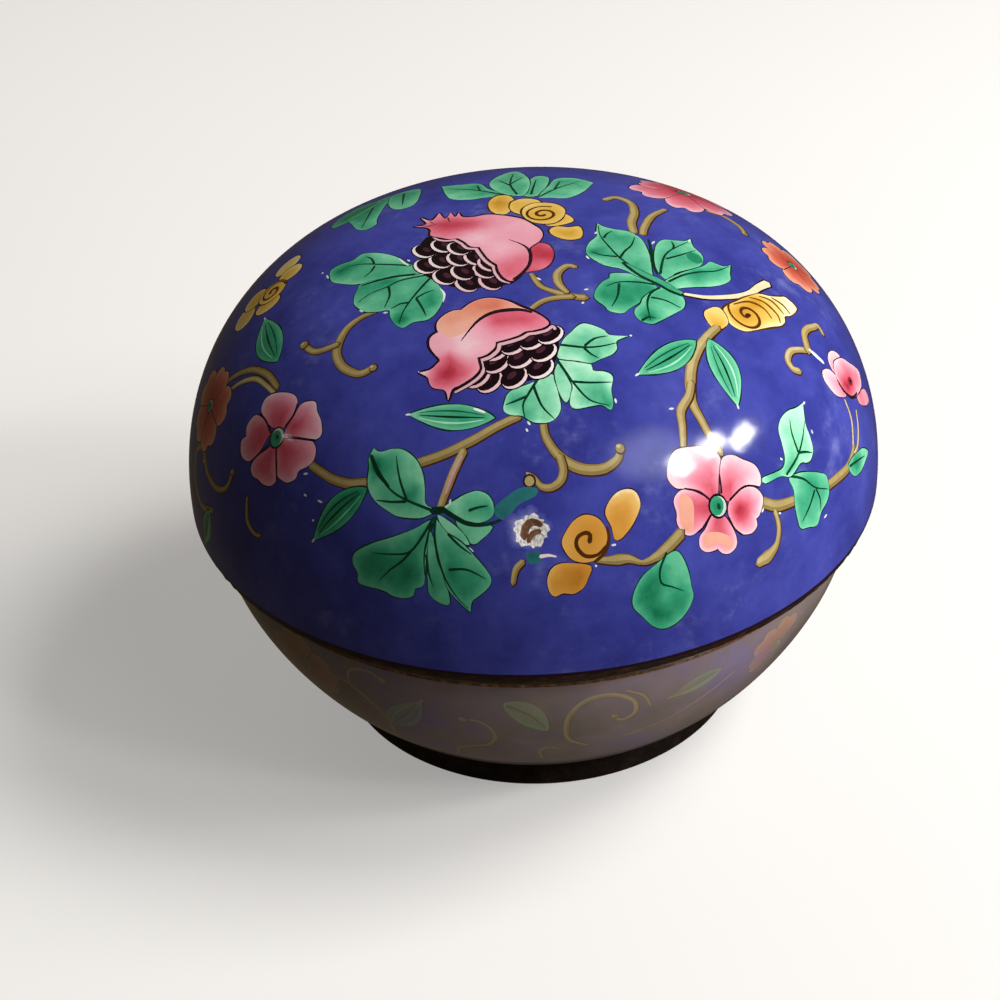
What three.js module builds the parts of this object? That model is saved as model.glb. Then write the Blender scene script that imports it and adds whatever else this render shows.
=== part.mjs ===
// A round painted-enamel box with a domed lift-off lid: an enamelled copper dome with a copper
// rim band, an enamelled copper bowl with a copper seating ring, and a copper foot ring.
// Millimetres, +Z up. The origin is the centre of the circle that the foot stands on.
import * as THREE from 'three';

// Driving dimensions
const overallHeight = 73.5;
const lidRadius = 50;            // the widest circle, at the lid's shoulder
const wall = 1.6;                // copper sheet with its enamel on both faces
const facets = 64;               // sides of every round piece

// Lid: a dome above the shoulder, its edge turned under below it into a narrow flat flange
const mouthRadius = 47.3;        // where the turned-under edge becomes flat
const lidEdgeHeight = 34;        // underside of the flange
const edgeDrop = 2.2;
const shoulderHeight = lidEdgeHeight + edgeDrop;
const domeRise = overallHeight - shoulderHeight;
const domeFullness = 2.8;        // exponent across: above 2 the crown is flatter than an ellipse
const domeRoundness = 2.1;       // exponent upwards

// Lid rim: a copper band under the flange
const bandHeight = 1.1;
const bandRound = 0.3;
const bandRadius = mouthRadius + 0.2;
const bandInnerRadius = mouthRadius - wall;
const bandBottom = lidEdgeHeight - bandHeight;

// Seating ring on the bowl's edge: a recessed ledge, and an upstand that keeps the lid in place
const ledgeHeight = 0.6;
const ledgeRadius = 46.5;
const upstandClearance = 0.4;
const upstandRadius = bandInnerRadius - upstandClearance;
const upstandThickness = 1.2;
const upstandTop = bandBottom + 4.6;

// Foot ring and bowl
const footHeight = 4.6;
const footRadius = 31.2;
const footTopRadius = 30.8;
const footInnerRadius = 29.4;
const footChamfer = 0.5;
const bowlTop = bandBottom - ledgeHeight;
const bowlMouthRadius = 46.9;
const bowlUndersideRadius = 31.5;
const bowlSideDrop = 10.3;       // how far the bowl's side falls before it starts to curve in
const bowlTurn = { radius: 36.8, height: 7.6 };   // the corner that the lower curve is drawn towards

const domeSteps = 13;
const edgeSteps = 4;
const bowlSteps = 9;

// Points of the dome from the crown down to the shoulder
function domeCurve(radius, rise, steps) {
  const curve = [];
  for (let i = 0; i <= steps; i++) {
    const angle = (Math.PI / 2) * (i / steps);
    const across = radius * Math.sin(angle) ** (2 / domeFullness);
    const height = shoulderHeight + rise * Math.cos(angle) ** (2 / domeRoundness);
    curve.push(new THREE.Vector2(i === 0 ? 0 : across, height));
  }
  return curve;
}

// Quarter of an ellipse from just below the shoulder, turning under to the flange
function turnedEdge(width, drop, steps) {
  const curve = [];
  for (let i = 1; i <= steps; i++) {
    const angle = (Math.PI / 2) * (i / steps);
    curve.push(new THREE.Vector2(
      mouthRadius + width * Math.cos(angle),
      shoulderHeight - drop * Math.sin(angle),
    ));
  }
  return curve;
}

// The same curve moved sideways by a distance, to the left of its direction of travel
function inset(curve, distance) {
  return curve.map((point, i) => {
    const before = curve[Math.max(i - 1, 0)];
    const after = curve[Math.min(i + 1, curve.length - 1)];
    const along = after.clone().sub(before).normalize();
    return new THREE.Vector2(point.x - along.y * distance, point.y + along.x * distance);
  });
}

// Turns a profile of (radius, height) points about the Z axis
function revolve(profile) {
  const geometry = new THREE.LatheGeometry(profile, facets);
  geometry.rotateX(Math.PI / 2);
  return geometry;
}

function ringProfile(corners) {
  const points = corners.map(([radius, height]) => new THREE.Vector2(radius, height));
  return [...points, points[0].clone()];
}

function lidGeometry() {
  const edgeWidth = lidRadius - mouthRadius;
  const outside = [
    ...domeCurve(lidRadius, domeRise, domeSteps),
    ...turnedEdge(edgeWidth, edgeDrop, edgeSteps),
  ];
  const inside = [
    ...domeCurve(lidRadius - wall, domeRise - wall, domeSteps),
    ...turnedEdge(edgeWidth - wall, edgeDrop - wall, edgeSteps - 1),
  ];
  return revolve([
    ...inside,
    new THREE.Vector2(bandInnerRadius, lidEdgeHeight + wall),
    new THREE.Vector2(bandInnerRadius, lidEdgeHeight),
    ...outside.reverse(),
  ]);
}

function lidRimGeometry() {
  return revolve(ringProfile([
    [bandInnerRadius, bandBottom],
    [bandRadius - bandRound, bandBottom],
    [bandRadius, bandBottom + bandRound],
    [bandRadius, lidEdgeHeight - bandRound],
    [bandRadius - bandRound, lidEdgeHeight],
    [bandInnerRadius, lidEdgeHeight],
  ]));
}

function bowlGeometry() {
  const side = new THREE.CubicBezierCurve(
    new THREE.Vector2(bowlUndersideRadius, footHeight),
    new THREE.Vector2(bowlTurn.radius, bowlTurn.height),
    new THREE.Vector2(bowlMouthRadius, bowlTop - bowlSideDrop),
    new THREE.Vector2(bowlMouthRadius, bowlTop),
  );
  const outside = side.getSpacedPoints(bowlSteps);
  const floorHeight = footHeight + wall;
  const inside = inset(outside, wall).filter((point) => point.y > floorHeight);
  inside[inside.length - 1].set(bowlMouthRadius - wall, bowlTop);
  return revolve([
    new THREE.Vector2(0, footHeight),
    ...outside,
    ...inside.reverse(),
    new THREE.Vector2(bowlUndersideRadius - wall / 2, floorHeight),
    new THREE.Vector2(0, floorHeight),
  ]);
}

function bowlRimGeometry() {
  return revolve(ringProfile([
    [upstandRadius - upstandThickness, bowlTop],
    [ledgeRadius, bowlTop],
    [ledgeRadius, bandBottom],
    [upstandRadius, bandBottom],
    [upstandRadius, upstandTop],
    [upstandRadius - upstandThickness, upstandTop],
  ]));
}

function footRingGeometry() {
  return revolve(ringProfile([
    [footInnerRadius, 0],
    [footRadius - footChamfer, 0],
    [footRadius, footChamfer],
    [footTopRadius, footHeight],
    [footInnerRadius, footHeight],
  ]));
}

const enamel = { color: 0x3f3f9f, roughness: 0.15, metalness: 0 };
const copper = { color: 0x7b5c48, roughness: 0.4, metalness: 1 };
const darkCopper = { color: 0x2b211c, roughness: 0.5, metalness: 1 };

const pieces = [
  ['lid', lidGeometry, enamel],
  ['lid_rim', lidRimGeometry, copper],
  ['bowl', bowlGeometry, enamel],
  ['bowl_rim', bowlRimGeometry, copper],
  ['foot_ring', footRingGeometry, darkCopper],
];

const box = new THREE.Group();
for (const [name, geometry, finish] of pieces) {
  const mesh = new THREE.Mesh(geometry(), new THREE.MeshStandardMaterial(finish));
  mesh.name = name;
  box.add(mesh);
}

export default box;
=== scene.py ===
"""A round painted enamel box: the finish of its five pieces, drawn around the fixed CAD frame.

The two enamelled walls carry a painting. It is laid out on a flat chart of each wall, where a point
lies as far from the middle as it does along the surface, and the chart is then wrapped on the wall.
Lengths are in millimetres until a mesh is made.
"""

import math

import bmesh
import bpy
import numpy as np
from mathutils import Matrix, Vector
from mathutils.geometry import delaunay_2d_cdt


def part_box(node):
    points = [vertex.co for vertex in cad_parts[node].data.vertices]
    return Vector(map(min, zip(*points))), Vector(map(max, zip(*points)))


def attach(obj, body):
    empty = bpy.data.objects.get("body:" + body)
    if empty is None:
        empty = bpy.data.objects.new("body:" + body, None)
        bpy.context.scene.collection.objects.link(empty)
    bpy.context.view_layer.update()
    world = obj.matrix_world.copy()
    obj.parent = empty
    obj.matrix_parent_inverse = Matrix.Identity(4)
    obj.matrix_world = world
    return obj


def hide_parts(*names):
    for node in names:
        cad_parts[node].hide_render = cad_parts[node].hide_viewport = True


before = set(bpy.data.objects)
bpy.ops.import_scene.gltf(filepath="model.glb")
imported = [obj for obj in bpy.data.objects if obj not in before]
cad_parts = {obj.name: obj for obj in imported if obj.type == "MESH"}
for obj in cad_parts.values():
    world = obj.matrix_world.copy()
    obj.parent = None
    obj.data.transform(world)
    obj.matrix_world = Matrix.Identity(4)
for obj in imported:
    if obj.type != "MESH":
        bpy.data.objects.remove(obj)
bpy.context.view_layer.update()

MM = 0.001
ROUND = 256                      # sides of every round piece
TURN = 2 * math.pi
BOX_MIDDLE = (0, 0, 0.04)        # metres
WARM = (1, 0.985, 0.96)          # daylight through the windows
STUDIO_RADIUS = 2.5              # metres, of the floor and the dome over it


# ---------------------------------------------------------------- sizes, from the frame


def size_of(node):
    """Outer radius, lowest level and highest level of a round piece"""
    low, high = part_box(node)
    return high.x / MM, low.z / MM, high.z / MM


lid_radius, lid_bottom, lid_top = size_of("lid")
band_radius, band_bottom, band_top = size_of("lid_rim")
bowl_radius, bowl_bottom, bowl_top = size_of("bowl")
ledge_radius, _, upstand_top = size_of("bowl_rim")
foot_radius, foot_bottom, foot_top = size_of("foot_ring")

wall = 1.6                               # copper sheet with enamel on both faces
mouth_radius = band_radius - 0.2         # where the lid's turned edge becomes flat
flange_radius = mouth_radius - wall
edge_drop = 2.2                          # from the lid's widest circle down to its edge
dome_fullness = 2.8
dome_roundness = 2.1
underside_radius = 31.5                  # where the bowl's side starts
bowl_side_drop = 10.3                    # how far the bowl's wall goes straight down from its mouth
bowl_turn = (36.8, 7.6)                  # what its curve bends towards, as radius and height
upstand_radius = flange_radius - 0.4
upstand_thickness = 1.2
foot_inner_radius = 29.4
bare_edge = 3.7                          # bare copper along the lid's turned-under edge
painted_shade_line = 0.5                          # painted shade: the dark line between it and the blue, where the edge turns under


# ---------------------------------------------------------------- profiles of the two walls


class Profile:
    """A curve of (radius, height) points, read by the distance along it"""

    def __init__(self, points, start=0.0, side=1):
        self.side = side
        self.points = np.array(points, float)
        steps = np.hypot(*np.diff(self.points, axis=0).T)
        self.along = start + np.concatenate(([0.0], np.cumsum(steps)))
        self.start, self.end = self.along[0], self.along[-1]

    def radius(self, distance):
        return np.interp(distance, self.along, self.points[:, 0])

    def height(self, distance):
        return np.interp(distance, self.along, self.points[:, 1])

    def normal(self, distance):
        """Radial and upward parts of the outward normal"""
        reach = 0.25
        before = np.clip(distance - reach, self.start, self.end)
        after = np.clip(distance + reach, self.start, self.end)
        out = self.radius(after) - self.radius(before)
        up = self.height(after) - self.height(before)
        length = np.hypot(out, up)
        return -up / length * self.side, out / length * self.side


def dome_points(radius, rise, edge_width, edge_depth, fine=400):
    """From the crown over the widest circle to the turned-under edge"""
    shoulder = lid_bottom + edge_drop
    angle = np.linspace(0, math.pi / 2, fine)
    dome = np.column_stack((
        radius * np.sin(angle) ** (2 / dome_fullness),
        shoulder + rise * np.abs(np.cos(angle)) ** (2 / dome_roundness),
    ))
    angle = np.linspace(0, math.pi / 2, fine // 8)[1:]
    edge = np.column_stack((
        mouth_radius + edge_width * np.cos(angle),
        shoulder - edge_depth * np.sin(angle),
    ))
    dome[0, 0] = 0
    return np.vstack((dome, edge))


def bowl_points(fine=200):
    """From the foot up to the mouth"""
    corners = np.array((
        (underside_radius, bowl_bottom),
        bowl_turn,
        (bowl_radius, bowl_top - bowl_side_drop),
        (bowl_radius, bowl_top),
    ))
    t = np.linspace(0, 1, fine)[:, None]
    weights = np.hstack(((1 - t) ** 3, 3 * (1 - t) ** 2 * t, 3 * (1 - t) * t ** 2, t ** 3))
    return weights @ corners


dome_rise = lid_top - lid_bottom - edge_drop
edge_width = lid_radius - mouth_radius
lid_profile = Profile(dome_points(lid_radius, dome_rise, edge_width, edge_drop))
lid_lining = Profile(dome_points(lid_radius - wall, dome_rise - wall, edge_width - wall, edge_drop - wall))
bowl_profile = Profile(bowl_points(), start=underside_radius, side=-1)


# ---------------------------------------------------------------- places and outlines


def turned(points, angle):
    """Points turned about the origin, the angle in radians"""
    cos, sin = math.cos(angle), math.sin(angle)
    x, y = np.asarray(points, float).T
    return np.column_stack((cos * x - sin * y, sin * x + cos * y))


class Flat:
    """Coordinates read straight off the chart"""

    def out(self, points):
        return np.asarray(points, float)

    def back(self, points):
        return points


class Spot:
    """True-size coordinates about an anchor on the wall: y is up the wall when turn is 0"""

    def __init__(self, profile, anchor, turn=0.0):
        self.profile = profile
        self.distance = math.hypot(*anchor)
        self.angle = math.atan2(anchor[1], anchor[0])
        self.turn = turn

    def out(self, points):
        across, up = turned(points, self.turn).T
        distance = self.distance - up * self.profile.side
        angle = self.angle + across / self.profile.radius(distance)
        return np.column_stack((distance * np.cos(angle), distance * np.sin(angle)))

    def back(self, points):
        distance = np.hypot(points[:, 0], points[:, 1])
        angle = np.arctan2(points[:, 1], points[:, 0]) - self.angle
        angle = (angle + math.pi) % TURN - math.pi
        across = angle * self.profile.radius(distance)
        up = (self.distance - distance) * self.profile.side
        return turned(np.column_stack((across, up)), -self.turn)


def curve(points, closed=False, step=0.5):
    """A smooth line through a few points. A point given twice makes a corner."""
    points = np.asarray(points, float)
    count = len(points)
    pieces = []
    for i in range(count if closed else count - 1):
        if closed:
            a, b, c, d = (points[(i + k) % count] for k in (-1, 0, 1, 2))
        else:
            a, b, c, d = (points[min(max(i + k, 0), count - 1)] for k in (-1, 0, 1, 2))
        gap = math.dist(b, c)
        if gap < 1e-6:
            continue
        t = np.linspace(0, 1, max(2, math.ceil(gap / step)), endpoint=False)[:, None]
        pieces.append(0.5 * (
            2 * b + (c - a) * t + (2 * a - 5 * b + 4 * c - d) * t ** 2 + (3 * b - a - 3 * c + d) * t ** 3
        ))
    if not closed:
        pieces.append(points[-1:])
    return np.vstack(pieces)


def loop(*points):
    """A closed smooth outline through a few points"""
    return curve(points, closed=True)


def ellipse(centre, length, breadth, angle=0.0):
    """angle in degrees, from the x axis to the ellipse's length"""
    count = max(12, round((length + breadth) * 2.6))
    t = np.arange(count) * TURN / count
    round_points = np.column_stack((length / 2 * np.cos(t), breadth / 2 * np.sin(t)))
    return turned(round_points, math.radians(angle)) + np.asarray(centre, float)


def normals_of(points, closed):
    """Unit vectors to the right of the direction of travel"""
    if closed:
        along = np.roll(points, -1, axis=0) - np.roll(points, 1, axis=0)
    else:
        along = np.gradient(points, axis=0)
    along /= np.hypot(*along.T)[:, None] + 1e-9
    return np.column_stack((along[:, 1], -along[:, 0]))


def grown(outline, distance):
    """A closed outline moved outwards, by a brush-like uneven distance"""
    x, y = outline.T
    area = np.sum(x * np.roll(y, -1) - y * np.roll(x, -1))
    side = math.copysign(1, area)
    phase = np.arange(len(outline)) * TURN / len(outline)
    uneven = distance * (1 + 0.3 * np.sin(3 * phase + x[0]) + 0.15 * np.sin(7 * phase + y[0]))
    return outline + side * normals_of(outline, True) * uneven[:, None]


def ribbon(path, widths, step=0.6):
    """The outline of a brush stroke along a path, its width running through the widths given"""
    path = curve(path, step=step)
    share = np.linspace(0, 1, len(path))
    width = np.interp(share, np.linspace(0, 1, len(np.atleast_1d(widths))), np.atleast_1d(widths))
    side = normals_of(path, False) * (width / 2)[:, None]
    caps = []
    for end in (-1, 0):
        radius = width[end] / 2
        ahead = path[end] - path[end - 1 if end else 1]
        ahead = ahead / (math.hypot(*ahead) + 1e-9)
        caps.append(path[end] + ahead * radius * 0.9)
    return np.vstack((path + side, caps[0], (path - side)[::-1], caps[1]))


def lobe(base, tip, width, bulge=0.5, fullness=0.7, bend=0.0, teeth=0):
    """A petal or leaf shape from base to tip. bulge is where it is widest, bend bows its midrib."""
    base, tip = np.asarray(base, float), np.asarray(tip, float)
    length = math.dist(base, tip)
    along = (tip - base) / length
    across = np.array((-along[1], along[0]))
    count = max(8, round(length / 0.5))
    t = np.linspace(0, 1, count + 1)
    half = width / 2 * np.sin(math.pi * t ** (math.log(0.5) / math.log(bulge))).clip(0) ** fullness
    if teeth:
        half *= 1 - TOOTH_DEPTH * (1 - np.abs(np.sin(math.pi * teeth * t)) ** 0.6)
    rib = base + along * (length * t)[:, None] + across * (bend * np.sin(math.pi * t))[:, None]
    left = rib + across * half[:, None]
    right = rib - across * half[:, None]
    return np.vstack((right, left[-2:0:-1]))


def rib_of(base, tip, bend=0.0, start=0.0, end=0.92):
    """Points along the midrib of the lobe above"""
    base, tip = np.asarray(base, float), np.asarray(tip, float)
    along = tip - base
    across = np.array((-along[1], along[0])) / math.hypot(*along)
    t = np.linspace(start, end, 6)
    return base + along * t[:, None] + across * (bend * np.sin(math.pi * t))[:, None]


# ---------------------------------------------------------------- how tones run over an area


def fade(centre, radius, low, high):
    """low at the centre, high at the radius"""
    def tone(points):
        share = np.hypot(points[:, 0] - centre[0], points[:, 1] - centre[1]) / radius
        return low + (high - low) * share.clip(0, 1)
    return tone


def sweep(start, end, low, high):
    """low at the start point, high at the end point"""
    start, along = np.asarray(start, float), np.subtract(end, start)
    def tone(points):
        share = (points - start) @ along / (along @ along)
        return low + (high - low) * share.clip(0, 1)
    return tone


def mottled(level, *patches):
    """A level with softly darker or lighter patches, each its place, its radius and the change there"""
    def tone(points):
        total = np.full(len(points), float(level))
        for x, y, radius, change in patches:
            away = ((points - (x, y)) ** 2).sum(axis=1) / radius ** 2
            total += change * np.exp(-away / 1.4)
        return total
    return tone


def rimmed(tone, outline, change, reach):
    """A tone that changes towards an outline given in the same coordinates"""
    def rim_tone(points):
        away = ((points[:, None] - outline[None]) ** 2).sum(axis=2).min(axis=1)
        return tone(points) + change * np.exp(-away / reach ** 2)
    return rim_tone


# ---------------------------------------------------------------- the painting

PIGMENTS = (
    "ground", "ink", "umber", "rose", "coral", "leaf", "stem", "yellow", "orange",
    "wine", "shell", "white", "haze", "smudge", "rim", "chip_edge", "chip_copper",
)
FLAKE = np.array((-1.7, -51.4))          # where a flake of the lid's enamel is lost
TOOTH_DEPTH = 0.12                       # of a leaf's width
CELL = 0.6                               # squares this wide, with an outline near, take no filling points
ROW = 0.866                              # filling points lie in rows this share of their spacing apart


def inside(points, outline):
    """Which points an outline winds around"""
    turns = np.zeros(len(points), int)
    x, y = points.T
    for (ax, ay), (bx, by) in zip(outline, np.roll(outline, -1, axis=0)):
        rises = (ay <= y) & (by > y)
        falls = (ay > y) & (by <= y)
        left = (bx - ax) * (y - ay) - (x - ax) * (by - ay)
        turns += (rises & (left > 0)).astype(int) - (falls & (left < 0)).astype(int)
    return turns != 0


class Painting:
    """Areas of pigment in the order they are laid, the later over the earlier"""

    def __init__(self, profile):
        self.profile = profile
        self.place = Flat()
        self.areas = []

    def at(self, x, y, turn=0.0):
        """What follows is drawn in true millimetres about this point, parallel to the chart's axes"""
        facing = math.atan2(y, x) + math.pi / 2
        self.place = Spot(self.profile, (x, y), math.radians(turn) - facing)

    def on_side(self, bearing, depth, turn=0.0):
        """The same, upright on the wall, by degrees to the right of the front and depth below the mouth"""
        angle = math.radians(bearing - 90)
        distance = self.profile.end - depth
        anchor = (distance * math.cos(angle), distance * math.sin(angle))
        self.place = Spot(self.profile, anchor, math.radians(turn))

    def on_chart(self):
        self.place = Flat()

    def lay(self, outline, pigment, tone=0.5):
        chart = self.place.out(outline)
        self.areas.append((chart, PIGMENTS.index(pigment), tone, self.place))

    def stroke(self, path, widths, pigment, tone=0.5):
        self.lay(ribbon(path, widths), pigment, tone)

    def mesh(self, spacing=0.85):
        """Triangles of the chart that no outline crosses, and the area on top of each"""
        first, last = self.profile.start, self.profile.end
        rings = [last] if first == 0 else [last, first]
        outlines = [circle(radius) for radius in rings] + [area[0] for area in self.areas]

        taken = set()
        for outline in outlines:
            for i, j in np.floor(outline / CELL).astype(int):
                taken.update((i + a, j + b) for a in (-1, 0, 1) for b in (-1, 0, 1))
        filling = []
        rows = math.ceil(last / (spacing * ROW))
        for row in range(-rows, rows + 1):
            for column in range(-rows, rows + 1):
                x, y = (column + row % 2 / 2) * spacing, row * spacing * ROW
                near_edge = not first + 0.4 < math.hypot(x, y) < last - 0.4
                if near_edge or (math.floor(x / CELL), math.floor(y / CELL)) in taken:
                    continue
                filling.append((x, y))

        points, edges = [], []
        for outline in outlines:
            start, count = len(points), len(outline)
            points.extend(outline)
            edges.extend((start + i, start + (i + 1) % count) for i in range(count))
        points.extend(filling)
        flat, _, faces, *_ = delaunay_2d_cdt([Vector(p) for p in points], edges, [], 0, 1e-4, False)
        flat = np.array([tuple(p) for p in flat])
        faces = np.array(faces)
        middle = flat[faces].mean(axis=1)
        kept = np.hypot(*middle.T) > first
        faces, middle = faces[kept], middle[kept]

        order = np.argsort(middle[:, 0])
        sorted_x = middle[order, 0]
        top = np.full(len(faces), -1)
        for number, (outline, *_) in enumerate(self.areas):
            low, high = outline.min(axis=0), outline.max(axis=0)
            near = order[np.searchsorted(sorted_x, low[0]):np.searchsorted(sorted_x, high[0])]
            near = near[(middle[near, 1] > low[1]) & (middle[near, 1] < high[1])]
            top[near[inside(middle[near], outline)]] = number
        return flat, faces, top


# ---------------------------------------------------------------- motifs


def calmer(tone):
    """The same shading, paler and with less between its lights and darks"""
    def calm_tone(points):
        return tone(points) * 0.8 + 0.17
    return calm_tone


def leaf(art, outline, veins, tone, glint_paths=()):
    """One lobe of a leaf: a dark line round it, a pale edge, and veins laid over, with white strokes as
    painted glints where given
    """
    shape = loop(*outline)
    art.lay(grown(shape, 0.13), "leaf", 0.0)
    art.lay(grown(shape, -0.02), "leaf", rimmed(calmer(tone), shape, 0.2, 0.5))
    for vein in veins:
        art.stroke(vein, (0.4, 0.34, 0.26, 0.1), "leaf", 0.04)
    # white strokes along the edge: painted glints
    for path in glint_paths:
        art.stroke(path, (0.1, 0.34, 0.1), "white", 0.75)


def petal(art, outline, pigment, tone, rim=0.25):
    """A petal with a thin dark line round it, running paler or darker to its rim"""
    shape = loop(*outline)
    art.lay(grown(shape, 0.14), "ink", 0.6)
    art.lay(shape, pigment, rimmed(tone, shape, rim, 0.6))


def tinge(art, outline):
    """A salmon flush that fades into the pink around it"""
    shape = loop(*outline)
    art.lay(shape, "coral", rimmed(mottled(0.6), shape, 0.3, 0.5))


def painted_glints(art, *places):
    """Small dabs of white, painted glints. Each is its place, its length and the angle of the dab."""
    for x, y, length, angle in places:
        art.lay(ellipse((x, y), length * 0.7, 0.3, angle), "white", 0.5)


def vine_leaf(art, base, lobes):
    """A leaf of several lobes from one base, for the sides that are painted more simply"""
    base = np.asarray(base, float)
    for tip, width in lobes:
        shape = lobe(base, tip, width, bulge=0.6, fullness=0.62, teeth=3)
        art.lay(grown(shape, 0.2), "leaf", 0.0)
        art.lay(shape, "leaf", rimmed(sweep(base, tip, 0.38, 0.6), shape, 0.16, 0.5))
    for tip, width in lobes:
        along = np.subtract(tip, base)
        across = np.array((-along[1], along[0])) / math.hypot(*along)
        for share, side in ((0.42, 1), (0.56, -1)):
            start = base + along * share
            end = start + along * 0.2 + across * side * width * 0.34
            art.stroke((start, end), (0.34, 0.12), "leaf", 0.02)
        art.stroke(rib_of(base, tip), (0.5, 0.42, 0.16), "leaf", 0.02)


def lance_leaf(art, base, tip, width, bend=0.0, tone=0.5):
    """A narrow pointed leaf with its veins along it and a white dab at its tip, a painted glint"""
    shape = lobe(base, tip, width, bulge=0.45, fullness=0.95, bend=bend)
    art.lay(grown(shape, 0.18), "leaf", 0.0)
    art.lay(shape, "leaf", rimmed(sweep(base, tip, tone, tone + 0.1), shape, 0.2, 0.45))
    for shift, thick, shade in ((0.0, 0.34, 0.0), (0.24, 0.3, tone + 0.42), (-0.24, 0.26, tone - 0.3)):
        art.stroke(rib_of(base, tip, bend + width * shift, 0.12, 0.86), (0.1, thick, 0.1), "leaf", shade)
    painted_glints(art, (*tip, 1.1, math.degrees(math.atan2(tip[1] - base[1], tip[0] - base[0]))))


def petal_outline(reach, axis, half_angle):
    """A notched petal from the middle, its axis and half-angle in radians"""
    share = np.linspace(-1, 1, 25)
    radius = reach * (1 - 0.24 * np.abs(share) ** 3.2 - 0.1 * np.exp(-(share / 0.2) ** 2))
    angle = axis + share * half_angle
    rim = np.column_stack((radius * np.cos(angle), radius * np.sin(angle)))
    return np.vstack((rim, (0, 0)))


def blossom(art, radius, petals, pigment="rose", eye=1.5):
    """Petals about the place's own middle, each by its angle, half-angle and share of the radius"""
    for axis, half_angle, share in petals:
        shape = petal_outline(radius * share, math.radians(axis), math.radians(half_angle))
        art.lay(grown(shape, 0.18), "ink", 0.5)
        art.lay(shape, pigment, rimmed(fade((0, 0), radius, 0.1, 0.7), shape, 0.25, 0.6))
    flower_eye(art, (0, 0), eye)


def flower_eye(art, middle, size, turn=0.0):
    """A green boss in a dark ring, with a white crescent on one side"""
    away = turned(((1, 0), (0, 1)), math.radians(turn)) * size
    art.lay(ellipse(middle, size * 2.16, size * 2.16), "ink", 0.4)
    art.lay(ellipse(middle + away[0] * 0.06, size * 1.74, size * 1.74), "white", 0.3)
    art.lay(ellipse(middle - away[0] * 0.12, size * 1.5, size * 1.66), "leaf", fade(middle, size, 0.3, 0.5))
    art.lay(ellipse(middle + away[0] * 0.1, size * 0.4, size * 0.6, 30), "leaf", 0.08)


FIVE_PETALS = ((90, 37, 1), (162, 36, 0.96), (234, 36, 1), (306, 36, 0.95), (18, 36, 1))


def coil(art, centre, radius, turn=0.0, turns=1.5, widths=(0.3, 0.4, 0.5, 0.6)):
    """A spiral line running inwards"""
    angle = math.radians(turn) + np.linspace(0, turns * TURN, 22)
    reach = radius * np.linspace(1, 0.14, 22)
    path = np.column_stack((reach * np.cos(angle), reach * np.sin(angle))) + np.asarray(centre, float)
    art.stroke(path, widths, "umber", 0.4)


def rolled_flower(art, pigment, petals, centre, radius):
    """Overlapping petals, each a centre, length, breadth and angle, with a rolled one on top"""
    for middle, length, breadth, angle in petals:
        shape = ellipse(middle, length, breadth, angle)
        art.lay(grown(shape, 0.24), "umber", 0.2)
        art.lay(shape, pigment, rimmed(fade(centre, radius * 2.4, 0.2, 0.75), shape, 0.2, 0.6))
    shape = ellipse(centre, radius * 2, radius * 1.9)
    art.lay(grown(shape, 0.24), "umber", 0.2)
    art.lay(shape, pigment, fade(centre, radius, 0.35, 0.7))
    coil(art, centre, radius * 0.95)


def stem(art, path, width=(0.9, 0.9), ball=0.0, tone=0.5):
    """A scrolling stem with a painted shadow along one side and a painted highlight along the other"""
    path = curve(path, step=0.7)
    width = np.atleast_1d(width)
    # painted shadow: a dark umber edge offset to one side
    art.lay(ribbon(path + (0.08, -0.08), width + 0.28), "umber", 0.1)
    art.lay(ribbon(path, width), "stem", tone - 0.08)
    # painted highlight: a paler narrow ribbon offset to the other side
    art.lay(ribbon(path + (-0.1, 0.12), width * 0.5), "stem", tone + 0.14)
    if ball:
        # the ball end gets the same painted shadow and painted highlight
        end = path[-1]
        art.lay(ellipse(end + (0.08, -0.08), ball * 2 + 0.36, ball * 2 + 0.36), "umber", 0.1)
        art.lay(ellipse(end, ball * 2, ball * 2), "stem", tone)
        art.lay(ellipse(end + (-0.2, 0.25), ball, ball * 0.8), "stem", tone + 0.3)


def seeds(art, places, length, breadth, angle, side, pale):
    """Scale-like seeds: a pale rim on one side of a dark cell"""
    side = np.asarray(side, float)
    for x, y in places:
        centre = np.array((x, y))
        art.lay(ellipse(centre, length + 0.4, breadth + 0.4, angle), "wine", 0.1)
        art.lay(ellipse(centre, length, breadth, angle), "shell", pale)
        art.lay(ellipse(centre - side * 0.34, length * 0.94, breadth * 0.86, angle), "wine", 0.1)
        art.lay(ellipse(centre - side * 0.7, length * 0.4, breadth * 0.3, angle), "wine", 0.9)


# ---------------------------------------------------------------- the lid's painting


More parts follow.
